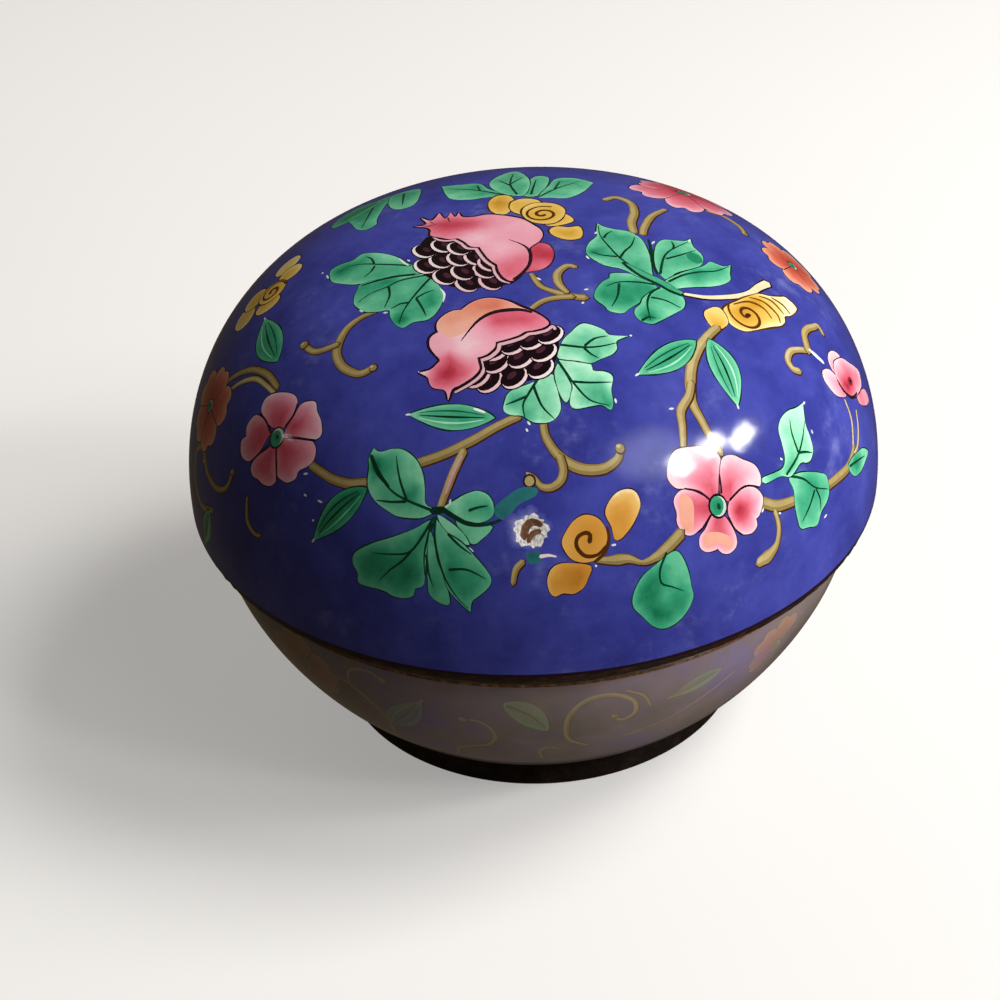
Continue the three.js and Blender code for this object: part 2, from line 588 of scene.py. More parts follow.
def pomegranate_up(art):
    """The upper fruit, its crown to the upper left and its seeds showing below"""
    opening = loop(
        (-12.4, 0.2), (-14.2, -2.6), (-14.2, -6), (-14.0, -9.4), (-11.6, -12.6), (-8.6, -14.6),
        (-4.6, -14.8), (-1.6, -13.9), (-4, -8), (-8, -2),
    )
    art.lay(opening, "wine", 0.1)
    seeds(art, (
        (-4.9, -13.8), (-8.0, -13.7), (-10.9, -11.5), (-5.6, -11.0), (-8.5, -10.9), (-13.4, -8.2),
        (-11.4, -7.4), (-9.0, -7.4), (-6.7, -7.6), (-13.6, -4.1), (-11.1, -3.3), (-8.9, -4.5), (-4.9, -9.4),
    ), 4.1, 2.7, -62, (-0.62, -0.42), sweep((-14, -6), (-4, -10), 1.0, 0.5))
    outer = loop(
        (3.4, -5.4), (3.8, -7.5), (3.3, -9.9), (2.2, -11.4), (0.7, -11.9), (-0.4, -11.9), (0.4, -9),
        (0.4, -6), (1.4, -4.6), (2.5, -4.5),
    )
    art.lay(grown(outer, 0.2), "ink", 0.5)
    art.lay(outer, "rose", mottled(0.3, (2.6, -7.5, 2.0, -0.16), (2.2, -10.8, 1.4, 0.3),
                                   (3.2, -5.4, 1, 0.15)))
    body = (
        (-12.6, 0.2), (-12.6, 1.8), (-13.2, 2.9), (-14.9, 3.7), (-14.9, 3.7), (-13.2, 4.0), (-14.0, 6.4),
        (-14.0, 6.4), (-12.5, 4.9), (-11.4, 7.2), (-11.4, 7.2), (-10.6, 5.0), (-9.8, 6.9), (-9.8, 6.9),
        (-9.2, 5.2), (-8.7, 6.6), (-8.7, 6.6), (-8.2, 5.0), (-6.6, 4.7), (-4.8, 5.1), (-2.9, 4.6),
        (-1.2, 3.8), (0.2, 2.8), (1.4, 1.1), (2.3, -0.4), (2.6, -2.1), (2.1, -3.8), (1.0, -5.2),
        (0.6, -6.0), (0.7, -8.0), (0.4, -10.2), (-0.6, -12.2), (-1.9, -13.9), (-2.9, -13.2), (-3.6, -11.5),
        (-3.8, -9.7), (-3.8, -9.7), (-4.8, -8.2), (-5.5, -6.3), (-6.0, -4.6), (-6.0, -4.6), (-7.2, -4.2),
        (-8.0, -2.7), (-8.9, -1.5), (-8.9, -1.5), (-10.1, -1.5), (-11.2, -0.8),
    )
    shape = loop(*body)
    lip = curve(body[-15:] + ((-11.9, 0.4),), step=0.5) + (-0.5, -0.42)
    art.stroke(lip, (0.7, 0.9, 0.9, 0.6), "ink", 0.3)
    art.stroke(lip, (0.3, 0.46, 0.46, 0.3), "shell", 0.45)
    art.lay(grown(shape, 0.3), "ink", 0.3)
    art.lay(shape, "rose", mottled(
        0.76, (-12.0, 3.4, 2.0, -0.3), (-9.4, 2.6, 2.2, -0.42), (-6.6, 2.4, 1.8, -0.26),
        (-2.2, -11.4, 2.2, -0.34), (0, -8.5, 1.6, -0.22), (-10.4, -0.2, 1.4, -0.1), (-6.6, -1.6, 1.8, 0.2),
        (0.5, 1, 2.5, 0.08), (-3.6, -5.4, 1.8, 0.1), (-13.6, 5.4, 1.0, 0.3),
    ))
    art.stroke(((-2.0, -3.0), (-0.6, -4.3), (0.3, -5.6), (0.7, -7.6), (0.4, -10.2), (-0.6, -12.2),
                (-1.8, -13.6)),
               (0.1, 0.34, 0.5, 0.5, 0.4), "ink")
    art.stroke(((-14.2, 3.8), (-12.8, 3.2), (-11.8, 3.6)), (0.1, 0.26, 0.1), "ink", 0.8)
    art.stroke(((-12.7, 4.6), (-12.2, 3.8)), (0.2, 0.1), "ink", 0.8)
    art.stroke(((-10.2, 5.2), (-10.0, 3.8)), (0.3, 0.1), "ink", 0.8)


def pomegranate_low(art):
    """The lower fruit, its crown to the lower left and its seeds to the right"""
    opening = loop(
        (2.6, -23.4), (3.4, -25.4), (3.0, -28.8), (1.2, -31.6), (-2.6, -32.4), (-6.6, -32.2), (-9.0, -31.6),
        (-6.8, -28), (-2, -25),
    )
    art.lay(opening, "wine", 0.1)
    seeds(art, (
        (-5.7, -31.8), (-2.5, -31.6), (0.9, -30.4), (-7.2, -30.9), (-4.6, -29.1), (-1.5, -28.7),
        (1.4, -27.9), (-4.6, -27.2), (-2.3, -26.5), (0.1, -25.9), (2.4, -25.1),
    ), 3.7, 2.7, 38, (0.52, -0.56), sweep((-6, -28), (2, -31), 0.45, 1.0))
    body = (
        (-12.2, -27.8), (-11.9, -27.3), (-12.6, -26.1), (-13.1, -24.8), (-13.0, -23.5), (-12.4, -22.9),
        (-11.9, -22.7), (-11.9, -22.7), (-12.1, -21.6), (-11.8, -20.5), (-10.8, -19.5), (-9.7, -19.05),
        (-8.8, -19.15), (-8.8, -19.15), (-7.8, -18.2), (-6.6, -17.5), (-5.1, -17.3), (-3.6, -17.8),
        (-2.3, -18.6), (-1.2, -19.6), (0.1, -20.5), (1.1, -21.3), (2.0, -22.3), (2.3, -23.1), (1.5, -23.8),
        (0.1, -24.2), (-0.8, -24.3), (-1.7, -24.9), (-3.2, -25.4), (-4.6, -25.7), (-4.6, -25.7),
        (-4.8, -26.6), (-5.9, -27.6), (-7.1, -27.9), (-7.1, -27.9), (-7.0, -28.7), (-6.9, -29.7),
        (-7.6, -30.6), (-8.7, -31.3), (-9.8, -31.8), (-10.6, -32.1), (-11.2, -33.6), (-11.2, -33.6),
        (-11.5, -32.1), (-13.0, -31.4), (-13.5, -30.4), (-13.6, -29.7), (-14.7, -28.7), (-14.7, -28.7),
        (-13.2, -28.6),
    )
    shape = loop(*body)
    lip = curve(((2.6, -23.6),) + body[23:41], step=0.5) + (0.42, -0.5)
    art.stroke(lip, (0.7, 0.9, 0.9, 0.6), "ink", 0.3)
    art.stroke(lip, (0.4, 0.5, 0.5, 0.3), "shell", 0.4)
    art.lay(grown(shape, 0.3), "ink", 0.3)
    art.lay(shape, "rose", mottled(
        0.8, (-10.9, -29.4, 1.7, -0.6), (-12.0, -30.6, 1.2, -0.24), (-8.8, -29.8, 1.2, -0.24),
        (-10.6, -27.4, 0.9, -0.3), (-4.4, -21.4, 1.4, -0.42), (-1.6, -21.6, 1.8, -0.46),
        (0.9, -22.4, 1.3, -0.36), (-4.6, -23.2, 1.6, -0.1), (-14.2, -28.7, 0.7, 0.3),
        (-8.6, -24.8, 2.2, 0.14), (-9.4, -26.8, 1.2, 0.1),
    ))
    blush = loop(
        (-12.0, -21.8), (-11.7, -20.6), (-10.8, -19.6), (-9.7, -19.15), (-8.8, -19.2), (-7.8, -18.3),
        (-6.6, -17.6), (-5.1, -17.4), (-3.6, -17.9), (-2.3, -18.7), (-1.2, -19.7), (-0.2, -20.5),
        (-3.2, -20.2), (-5.0, -20.6), (-7.0, -22.0), (-8.8, -23.6), (-10.8, -23.8),
    )
    art.lay(blush, "coral", mottled(1.0, (-7.4, -18.6, 2.0, -0.3), (-4.4, -18.6, 1.8, -0.42),
                                    (-10.2, -20.2, 1.4, -0.2)))
    art.stroke(((-9.0, -24.8), (-7.8, -23.0), (-6.5, -21.4), (-4.9, -20.4), (-3.2, -20.1), (-1.2, -20.2),
                (0.2, -20.8)),
               (0.1, 0.36, 0.6, 0.7, 0.4), "ink")


def fruit_stems(art):
    """The short stems that join the two fruits"""
    stem(art, ((0.6, -12.6), (1.6, -15.4), (3.4, -16.8), (5.6, -17.8), (7.2, -18.1)), (0.7, 0.9, 1.3))
    stem(art, ((0.3, -20.0), (1.7, -18.7), (3.4, -18.1), (5.6, -17.9)), (0.7, 0.9, 1.0))
    stem(art, ((5.0, -17.0), (4.0, -15.0), (4.0, -12.6), (5.4, -10.8), (6.4, -11.2)), (0.7, 1.1, 1.1, 0.8),
         tone=0.55)
    painted_glints(art, (7.5, -16.4, 0.9, 10), (6.9, -19.2, 0.7, 50), (1.5, -13.8, 1.2, -50))


def leaf_by_upper_fruit(art):
    """The two broad lobes to the left of the upper fruit"""
    veins_top = (
        ((-15.4, -7.4), (-19.7, -5.4), (-22.1, -4.2), (-24.0, -3.8)),
        ((-20.4, -4.9), (-20.8, -3.4), (-21.6, -2.4)),
        ((-20.3, -5.6), (-20.8, -6.8), (-21.8, -7.8)),
    )
    leaf(art, (
        (-12.8, -9.8), (-15.8, -6.6), (-16.8, -5.0), (-18.4, -3.3), (-20.4, -1.9), (-22.2, -1.4),
        (-23.5, -2.4), (-25.2, -2.5), (-26.6, -3.1), (-26.8, -4.4), (-26.4, -6.3), (-25.2, -7.5),
        (-23.5, -8.7), (-22.0, -9.2), (-18, -10.2), (-15, -10.4),
    ), veins_top, mottled(0.52, (-25.2, -4.0, 1.6, -0.42), (-22.6, -3.4, 0.9, -0.2),
                          (-18.5, -4.2, 1.5, 0.14), (-24.2, -6.8, 1.2, 0.12)))
    veins_low = (
        ((-12.6, -10.4), (-16.6, -10.6), (-18.6, -11.5), (-20.9, -12.1), (-22.5, -13.2)),
        ((-18.3, -11.6), (-18.2, -13.6), (-18.9, -15.8)),
        ((-12.8, -11.4), (-15.1, -15.0), (-16.4, -17.5), (-17.0, -19.6)),
        ((-14.6, -15.4), (-13.9, -17.4), (-13.4, -19.2)),
        ((-15.7, -15.9), (-16.8, -15.8), (-18.0, -16.4)),
        ((-14.6, -15.2), (-13.2, -14.4), (-12.2, -14.2)),
    )
    leaf(art, (
        (-12.4, -10.2), (-15.0, -9.9), (-18.6, -9.4), (-22.0, -9.2), (-22.7, -10.4), (-23.1, -11.8),
        (-23.1, -13.4), (-22.3, -14.8), (-21.5, -15.7), (-19.9, -16.3), (-18.3, -16.6), (-18.2, -17.8),
        (-17.6, -19.5), (-16.5, -20.6), (-15.1, -20.0), (-13.2, -20.0), (-12.0, -18.9), (-11.2, -17.1),
        (-10.9, -15.4), (-11.3, -14.0), (-12.0, -12.2),
    ), veins_low, mottled(
        0.5, (-22.2, -10.6, 1.2, -0.36), (-17.0, -19.0, 1.2, -0.4), (-12.6, -16.2, 1.2, -0.2),
        (-20.2, -13.8, 1.3, 0.2), (-15.8, -13.0, 1.2, 0.16), (-15.2, -18.4, 0.8, 0.1),
        (-18.4, -9.8, 1.2, -0.3),
    ), glint_paths=(((-11.4, -14.0), (-10.9, -15.4), (-11.1, -17.0)),
              ((-16.9, -5.0), (-16.2, -6.4), (-15.6, -7.4))))
    art.stroke(((-14.8, -9.8), (-18.0, -9.4), (-22.0, -9.6)), (0.5, 0.5, 0.3), "leaf", 0.0)
    painted_glints(art, (-27.1, -4.6, 1.6, -75), (-15.6, -6.0, 0.9, -60), (-22.1, -15.2, 1.1, -50),
            (-18.8, -16.9, 1.0, -15),
            (-27.9, -3.0, 0.6, -50))


def upper_left(art):
    """The scroll beside the upper fruit, and the leaves and flower beyond it"""
    leaf(art, ((-18.6, 20), (-19.6, 14), (-20.4, 9.4), (-20.4, 7.4), (-21.8, 6.4), (-23.2, 7.4),
               (-24.4, 11), (-25.6, 16)),
         (((-21.0, 18), (-21.8, 12), (-22.6, 7.6)),), mottled(0.35, (-21, 9, 2, 0.2)))
    leaf(art, ((-14.6, 20), (-14.4, 15), (-15.2, 12), (-17.0, 11.2), (-18.4, 12.6), (-19, 16), (-18.4, 20)),
         (((-16.8, 19), (-16.8, 13)),), mottled(0.4, (-16.4, 13, 1.6, 0.25)))
    leaf(art, ((-20, 18), (-24, 13), (-27.4, 12.4), (-27, 16), (-23.6, 19.4)), (((-21, 18), (-26, 14)),),
         mottled(0.3))
    stem(art, ((-20.0, -16.2), (-22.1, -16.5), (-24.0, -17.6), (-25.2, -19.4), (-25.8, -21.6),
               (-25.0, -24.2), (-22.8, -26.2),
               (-20.8, -26.0)), (0.5, 1.0, 1.3, 1.2, 0.9), 0.5)
    stem(art, ((-25.6, -20.0), (-28.0, -19.9), (-29.4, -19.2), (-30.6, -17.4)), (0.9, 0.9), 0.6)
    art.at(-36.5, -1.0)
    rolled_flower(art, "yellow", (
        ((1.8, 6.2), 4.4, 3.8, 60), ((3.0, 3.0), 3.8, 3.6, 20), ((-5.0, -0.8), 4.2, 4.6, 0),
        ((-0.5, -2.4), 4.4, 3.2, 0),
        ((-3.2, 2.0), 4.2, 4.0, 0),
    ), (0.2, 0.4), 2.4)
    art.on_chart()
    lance_leaf(art, (-35.0, -17.6), (-37.2, -6.8), 4.6, 0.4, 0.4)


def left_side(art):
    """The left blossom with its stems and the far-left flower"""
    stem(art, ((-35.4, -22.0), (-36.2, -20.0), (-37.4, -18.0), (-40.0, -15.4), (-43.6, -13.6),
               (-47.2, -12.6)), (1.0, 1.0, 0.8))
    stem(art, ((-36.0, -22.6), (-37.4, -20.2), (-39.2, -17.8), (-42.4, -16.0), (-46.0, -15.2)),
         (0.7, 0.8, 0.6), tone=0.7)
    stem(art, ((-53.2, -17.0), (-54.2, -22.0), (-52.6, -26.6), (-49.6, -28.9), (-47.0, -28.2)),
         (0.9, 1.0, 0.7), 0.5)
    stem(art, ((-45.2, -33.6), (-46.8, -36.2), (-46.2, -38.6), (-45.0, -39.6)), (0.6, 0.8, 0.5))
    art.at(-50.2, -13.0)
    blossom(art, 6.4, ((100, 36, 1), (28, 36, 0.9), (-44, 36, 1), (-116, 36, 1), (172, 36, 0.95)), "coral",
            1.0)
    art.on_chart()
    stem(art, ((-31.7, -35.9), (-30.3, -37.5), (-28.7, -39.1), (-26.3, -40.6), (-23.8, -41.3)), (1.1, 1.3))
    petal(art, (
        (-38.2, -28.4), (-39.6, -29.2), (-41.2, -29.5), (-42.8, -29.3), (-43.8, -28.2), (-44.1, -27),
        (-43.5, -25.5), (-42.3, -25.6), (-42.3, -25.6), (-41.8, -24.2), (-40.1, -23.7), (-39.1, -24.4),
        (-38.3, -25.7), (-37.4, -28),
    ), "rose", fade((-37.8, -28.6), 6.0, 0.0, 0.72))
    petal(art, (
        (-37.3, -31), (-37.9, -33.2), (-38.3, -34.8), (-39.6, -35.0), (-41.0, -34.0), (-41.7, -32.9),
        (-42.6, -31.8), (-42.8, -30.8), (-42.2, -30.0), (-40.7, -29.8), (-38.6, -30.0), (-37, -30),
    ), "rose", fade((-37.4, -30.4), 5.6, 0.1, 0.66))
    petal(art, (
        (-35, -30.4), (-32.4, -31.9), (-30.8, -33.0), (-30.5, -34.3), (-31.2, -35.5), (-32.4, -35.8),
        (-34.0, -35.7), (-34.8, -36.4), (-36.4, -36.2), (-37.5, -35.1), (-37.9, -34.2), (-37.4, -32.4),
        (-36.6, -30.6),
    ), "rose", fade((-36.2, -30.6), 5.6, 0.12, 0.66))
    petal(art, (
        (-34.9, -29.2), (-33.2, -28.1), (-31.9, -27.0), (-30.8, -27.0), (-29.5, -27.7), (-29.4, -29.2),
        (-29.0, -30.8), (-29.2, -32.6), (-30.3, -32.9), (-31.6, -32.1), (-33.2, -31.1), (-35, -30.1),
    ), "rose", fade((-34.6, -29.6), 5.0, 0.0, 0.8))
    petal(art, (
        (-37.0, -27.6), (-37.9, -26.2), (-38.4, -24.9), (-38.6, -23.6), (-37.8, -22.6), (-36.6, -22.5),
        (-35.3, -23.0), (-33.8, -23.9), (-32.7, -24.9), (-32.3, -25.8), (-32.4, -26.8), (-33.5, -27.9),
        (-34.8, -28.7), (-35.8, -28.4),
    ), "rose", fade((-36.2, -28.2), 5.4, 0.05, 0.78))
    for line in (((-37.6, -28.0), (-38.0, -26.0), (-38.9, -24.2)),
                 ((-34.8, -28.7), (-33.2, -27.8), (-32.3, -26.6)),
                 ((-34.8, -30.3), (-32.6, -31.7), (-30.4, -33.0)),
                 ((-37.2, -31.2), (-37.6, -33.0), (-38.2, -34.8)),
                 ((-38.4, -29.6), (-40.6, -29.6), (-42.6, -29.7))):
        art.stroke(line, (0.36, 0.3, 0.36), "ink", 0.4)
    flower_eye(art, (-36.6, -29.4), 1.4, 20)
    painted_glints(art, (-32.9, -36.6, 1.2, -20), (-33.8, -39.2, 0.9, -50), (-31.6, -41.0, 1.3, -40),
            (-33.6, -42.8, 0.6, 0))


def low_left(art):
    """The main stem, and the leaf cluster at the lower left"""
    stem(art, ((-2.3, -37.0), (-5.1, -38.0), (-8.5, -39.4), (-12.4, -40.5), (-16.0, -40.9)), (1.0, 1.2, 1.2))
    stem(art, ((-9.8, -40.6), (-11.2, -42.6), (-12.8, -45.2), (-13.9, -47.0)), (1.0, 1.1, 0.9), tone=0.6)
    art.stroke(((-10.1, -41.2), (-11.4, -43.0), (-12.8, -45.4)), (0.3, 0.4, 0.3), "shell", 0.2)
    lance_leaf(art, (-5.4, -36.9), (-16.6, -34.3), 3.4, 0.3)
    # a white stroke on the leaf: painted glint
    art.stroke(((-8.0, -35.3), (-6.6, -36.0)), (0.2, 0.4, 0.2), "white", 0.9)
    lance_leaf(art, (-23.8, -42.0), (-34.6, -45.2), 3.9, -0.2, 0.3)
    leaf(art, (
        (-21.9, -37.3), (-21.9, -37.3), (-21.0, -38.1), (-19.3, -38.2), (-17.7, -38.8), (-16.3, -40.3),
        (-15.6, -42.2), (-15.6, -44.3), (-15.8, -46.1), (-14.6, -47.2), (-16.4, -47.7), (-18.2, -47.4),
        (-20.3, -46.6), (-21.9, -45.2), (-22.8, -44.2), (-23.5, -42.8), (-23.6, -41.4), (-23.0, -39.6),
        (-22.8, -38.4),
    ), (
        ((-14.9, -47.2), (-18.2, -45.2), (-20.3, -43.4), (-21.7, -41.0), (-22.5, -38.8)),
        ((-18.4, -45.0), (-18.9, -42.2), (-18.9, -39.3)),
        ((-18.6, -45.2), (-20.7, -44.7), (-22.8, -43.9)),
    ), mottled(0.56, (-22.2, -39.6, 1.0, -0.5), (-20.2, -40.2, 1.3, -0.12), (-17.4, -41.8, 1.4, 0.2),
               (-22.4, -42.6, 1.0, 0.1),
               (-17.7, -44.6, 0.7, -0.5)))
    art.stroke(((-22.4, -38.2), (-21.8, -40.6), (-20.6, -42.8)), (0.5, 0.7, 0.3), "leaf", 0.0)
    leaf(art, (
        (-13.6, -47.2), (-11.6, -46.4), (-10.0, -45.9), (-8.4, -45.8), (-7.0, -46.6), (-6.5, -48.0),
        (-6.9, -49.2), (-8.6, -49.7), (-10.2, -49.3), (-12.2, -48.4),
    ), (((-9.9, -48.0), (-8.6, -47.8), (-7.3, -47.8)),),
    mottled(0.52, (-7.4, -48.8, 1.0, -0.3), (-11.4, -47.2, 1.0, 0.2)))
    leaf(art, (
        (-11.9, -48.7), (-10.0, -49.9), (-7.2, -50.2), (-7.2, -50.8), (-8.4, -51.6), (-10.0, -52.2),
        (-11.4, -50.6),
    ), (), mottled(0.5))
    leaf(art, (
        (-14.4, -47.8), (-12.8, -48.9), (-11.2, -50.6), (-10.5, -52.2), (-12.3, -51.4), (-13.7, -50.0),
    ), (), mottled(0.6))
    painted_glints(art, (-10.4, -52.8, 1.3, -40), (-12.4, -46.6, 1.2, 70), (-12.9, -47.0, 0.8, 20))
    leaf(art, (
        (-15.6, -48.2), (-18.2, -48.8), (-21.7, -49.0), (-24.9, -48.9), (-28.0, -49.2), (-28.9, -50.3),
        (-28.6, -51.8), (-29.0, -53.0), (-27.7, -53.9), (-25.9, -54.8), (-24.6, -55.6), (-24.0, -56.2),
        (-22.1, -57.0), (-20.4, -57.0), (-19.9, -56.2), (-18.4, -56.0), (-17.5, -53.8), (-16.2, -50.4),
        (-15.2, -48.6),
    ), (
        ((-15.0, -48.0), (-17.0, -49.9), (-19.3, -51.4), (-21.7, -51.2), (-25.2, -50.1)),
        ((-19.2, -51.4), (-20.9, -52.3), (-23.1, -52.9), (-25.2, -53.7)),
        ((-15.4, -48.6), (-17.2, -52.0), (-17.9, -54.8)),
    ), mottled(0.4, (-20.4, -54.0, 1.8, -0.24), (-24.0, -51.4, 1.4, -0.2), (-26.6, -50.8, 1.6, -0.1),
               (-18.2, -52.2, 1.2, 0.14),
               (-21.0, -49.8, 1.6, 0.12)))
    leaf(art, (
        (-15.8, -49.6), (-16.9, -52.7), (-17.6, -55.5), (-17.8, -57.3), (-16.6, -58.7), (-15.0, -59.2),
        (-14.8, -57.0), (-15.2, -53),
    ), (((-17.0, -52.4), (-17.2, -54.6), (-17.0, -56.4)),), mottled(0.34, (-16.4, -52.0, 1.2, 0.16)))
    leaf(art, (
        (-14.8, -48.4), (-13.5, -50.1), (-11.6, -51.7), (-10.0, -53.6), (-8.6, -55.5), (-8.0, -56.9),
        (-8.6, -57.9), (-10.2, -58.8), (-11.4, -59.4), (-11.9, -60.8), (-11.9, -60.8), (-13.2, -59.4),
        (-14.7, -57.3), (-15.1, -55.0), (-15.4, -52.2),
    ), (
        ((-14.7, -48.0), (-15.3, -50.3), (-15.3, -53.1), (-14.8, -56.0), (-13.6, -58.5), (-12.2, -60.2)),
        ((-14.0, -54.8), (-11.4, -55.2), (-8.9, -56.7)),
        ((-13.3, -50.4), (-12.0, -52.0), (-10.4, -53.4)),
    ), mottled(0.42, (-13.4, -50.8, 1.4, 0.12), (-11.4, -54.0, 1.4, 0.1), (-12.2, -57.4, 1.6, -0.06),
               (-14.2, -55.4, 1.0, -0.2)))
    art.stroke(((-13.6, -47.2), (-11.9, -48.6), (-10.0, -49.7), (-7.2, -50.0), (-5.0, -49.4)),
               (0.7, 0.6, 0.5, 0.3), "leaf", 0.0)
    art.stroke(((-15.0, -47.2), (-13.6, -47.3)), (1.0, 0.9), "leaf", 0.0)


def leaves_by_lower_fruit(art):
    leaf(art, (
        (-0.4, -32.5), (-3.2, -33.5), (-4.0, -34.8), (-4.2, -36.1), (-3.2, -36.8), (-1.9, -37.0),
        (-0.6, -37.9), (1.1, -38.1), (2.3, -37.6), (3.1, -36.3), (2.9, -34.2), (2.3, -31.4),
    ), (
        ((0.4, -32.0), (-1.0, -34.2), (-1.7, -35.6), (-1.5, -37.6)),
        ((-0.2, -33.0), (0.7, -35.8), (2.2, -37.6)),
        ((-1.2, -34.4), (-2.6, -34.9), (-3.9, -35.3)),
    ), mottled(0.72, (-2.8, -34.2, 1.1, -0.3), (0.9, -33.8, 1.2, 0.16), (-1.2, -37.0, 0.7, -0.5),
               (0.2, -37.4, 0.8, 0.1)))
    leaf(art, ((2.6, -30.8), (3.6, -29.6), (4.6, -33.0), (4.1, -35.2), (3.5, -35.2), (2.8, -33.3)), (),
         mottled(0.66))
    leaf(art, (
        (3.2, -29.2), (5.6, -29.6), (7.3, -29.9), (7.5, -30.8), (9.0, -30.9), (10.0, -31.6), (9.7, -33.5),
        (9.9, -35.3), (9.5, -36.3), (8.4, -35.7), (7.1, -35.9), (5.0, -36.3), (4.3, -35.7), (4.5, -34.2),
        (4.75, -33.1), (4.0, -31.2),
    ), (
        ((3.0, -29.2), (4.1, -31.3), (4.9, -32.7), (6.8, -35.0), (9.3, -35.7)),
        ((4.8, -32.5), (7.1, -32.6), (9.8, -32.4)),
    ), mottled(0.76, (9.2, -35.4, 1.1, -0.5), (7.6, -34.2, 1.3, -0.2), (6.0, -31.2, 1.4, 0.1),
               (9.2, -31.8, 0.9, 0.1)))
    leaf(art, (
        (3.2, -28.0), (4.0, -25.9), (5.0, -24.7), (6.4, -23.2), (7.9, -23.4), (9.4, -24.3), (9.9, -25.0),
        (12.4, -25.0), (12.4, -25.0), (10.8, -26.0), (10.8, -27.2), (10.1, -28.2), (8.6, -29.0),
        (7.3, -29.7), (5.6, -29.4), (3.2, -29.0),
    ), (
        ((3.6, -26.8), (6.4, -27.2), (8.6, -27.0), (11.0, -26.2)),
        ((6.7, -26.9), (8.0, -25.7), (9.7, -25.2)),
        ((6.6, -27.4), (7.4, -28.3), (8.4, -28.9)),
    ), mottled(0.72, (5.4, -25.6, 1.2, -0.1), (7.0, -24.2, 1.2, 0.14), (7.6, -29.2, 0.8, -0.4),
               (5.4, -28.4, 1.2, 0.1)))
    painted_glints(art, (-1.1, -38.0, 0.9, -60), (-1.4, -38.9, 0.7, -60), (10.2, -35.0, 1.0, -80),
            (12.7, -24.9, 0.5, 0),
            (-14.6, -28.7, 0.8, -40), (-11.2, -33.2, 0.8, -80))


def low_middle(art):
    """The scroll under the lower fruit, the orange flower and its leaf"""
    stem(art, ((0.7, -37.6), (1.0, -40.0), (2.6, -42.4), (5.2, -43.9), (8.2, -43.9), (10.2, -42.6),
               (10.6, -41.2)),
         (0.9, 1.1, 1.4, 1.3, 0.8), 0.6)
    stem(art, ((2.6, -42.4), (3.0, -44.0), (2.6, -45.4), (1.3, -46.2), (0, -46.0), (-0.8, -45.0),
               (-1.7, -44.4)),
         (1.0, 1.1, 0.9, 0.5))
    art.lay(ellipse((-1.5, -45.3), 1.8, 1.8), "ink")
    art.lay(ellipse((-1.5, -45.3), 1.3, 1.3), "stem", 0.6)
    stem(art, ((-3.2, -55.1), (-4.3, -56.0), (-4.9, -57.7)), (0.8, 0.9, 0.7), tone=0.55)
    stem(art, ((7.4, -55.2), (9.6, -55.1), (12.2, -54.8), (14.5, -55.1), (16.8, -53.9), (18.6, -52.2),
               (19.8, -50.8)),
         (0.5, 1.4, 0.6, 1.5, 1.6))
    petal(art, (
        (8.6, -49.0), (9.3, -47.6), (10.4, -46.6), (11.8, -46.2), (12.9, -46.6), (13.5, -47.9),
        (13.1, -49.4), (12.2, -51.0), (10.9, -52.4), (10.0, -52.5), (9.5, -51), (8.8, -49.9),
    ), "orange", sweep((10, -52.4), (11, -47), 0.25, 0.75))
    petal(art, (
        (0.2, -57.6), (0.9, -56.2), (2.2, -55.6), (4.5, -55.6), (6.7, -56.0), (6.3, -57.4), (5.6, -58.7),
        (4.1, -59.5), (2.5, -59.4), (1.3, -59.8), (0.5, -59.2),
    ), "orange", sweep((5, -58), (0.6, -57), 0.18, 0.55))
    petal(art, (
        (2.5, -53.1), (3.2, -51.5), (4.4, -50.2), (5.9, -49.6), (7.6, -50.0), (8.7, -51.3), (8.9, -52.8),
        (8.2, -54.3), (7.2, -55.2), (5.4, -55.5), (3.6, -54.9),
    ), "orange", mottled(0.5, (7.4, -51.8, 1.4, -0.14), (3.6, -53, 1.4, 0.16)), rim=0.15)
    art.stroke(((8.9, -51.0), (9.2, -52.4), (8.6, -54.2), (7.2, -55.4)), (0.3, 0.6, 0.4), "umber", 0.3)
    art.stroke(((6.4, -52.9), (6.5, -52.1), (5.9, -51.8), (4.9, -52.2), (4.5, -53.0), (4.8, -53.9),
                (5.9, -54.7), (7.6, -54.5), (8.7, -53.4)),
               (0.7, 0.5, 0.6, 0.5, 0.3), "umber", 0.25)
    leaf(art, (
        (19.4, -53.1), (20.6, -53.8), (22.0, -55.6), (22.9, -57.4), (23.6, -58.7), (22.9, -61.0),
        (21.3, -62.8), (19.3, -63.7), (17.2, -63.4), (15.2, -62.2), (13.7, -61.2), (13.3, -59.9),
        (13.8, -58.1), (14.9, -56.5), (16.8, -54.9), (17.9, -53.9),
    ), (
        ((17.9, -53.6), (17.2, -55.8), (17.7, -57.5), (19.5, -57.8), (21.7, -58.1)),
    ), mottled(0.34, (19.8, -55.6, 1.6, 0.26), (18.4, -59.2, 1.2, 0.2), (16.0, -58.6, 1.6, -0.18),
               (18.2, -62.0, 1.8, -0.2),
               (21.6, -59.4, 1.2, -0.06)))
    painted_glints(art, (9.9, -53.2, 1.0, 10), (7.4, -55.9, 0.5, 0), (17.6, -35.2, 1.0, 15))


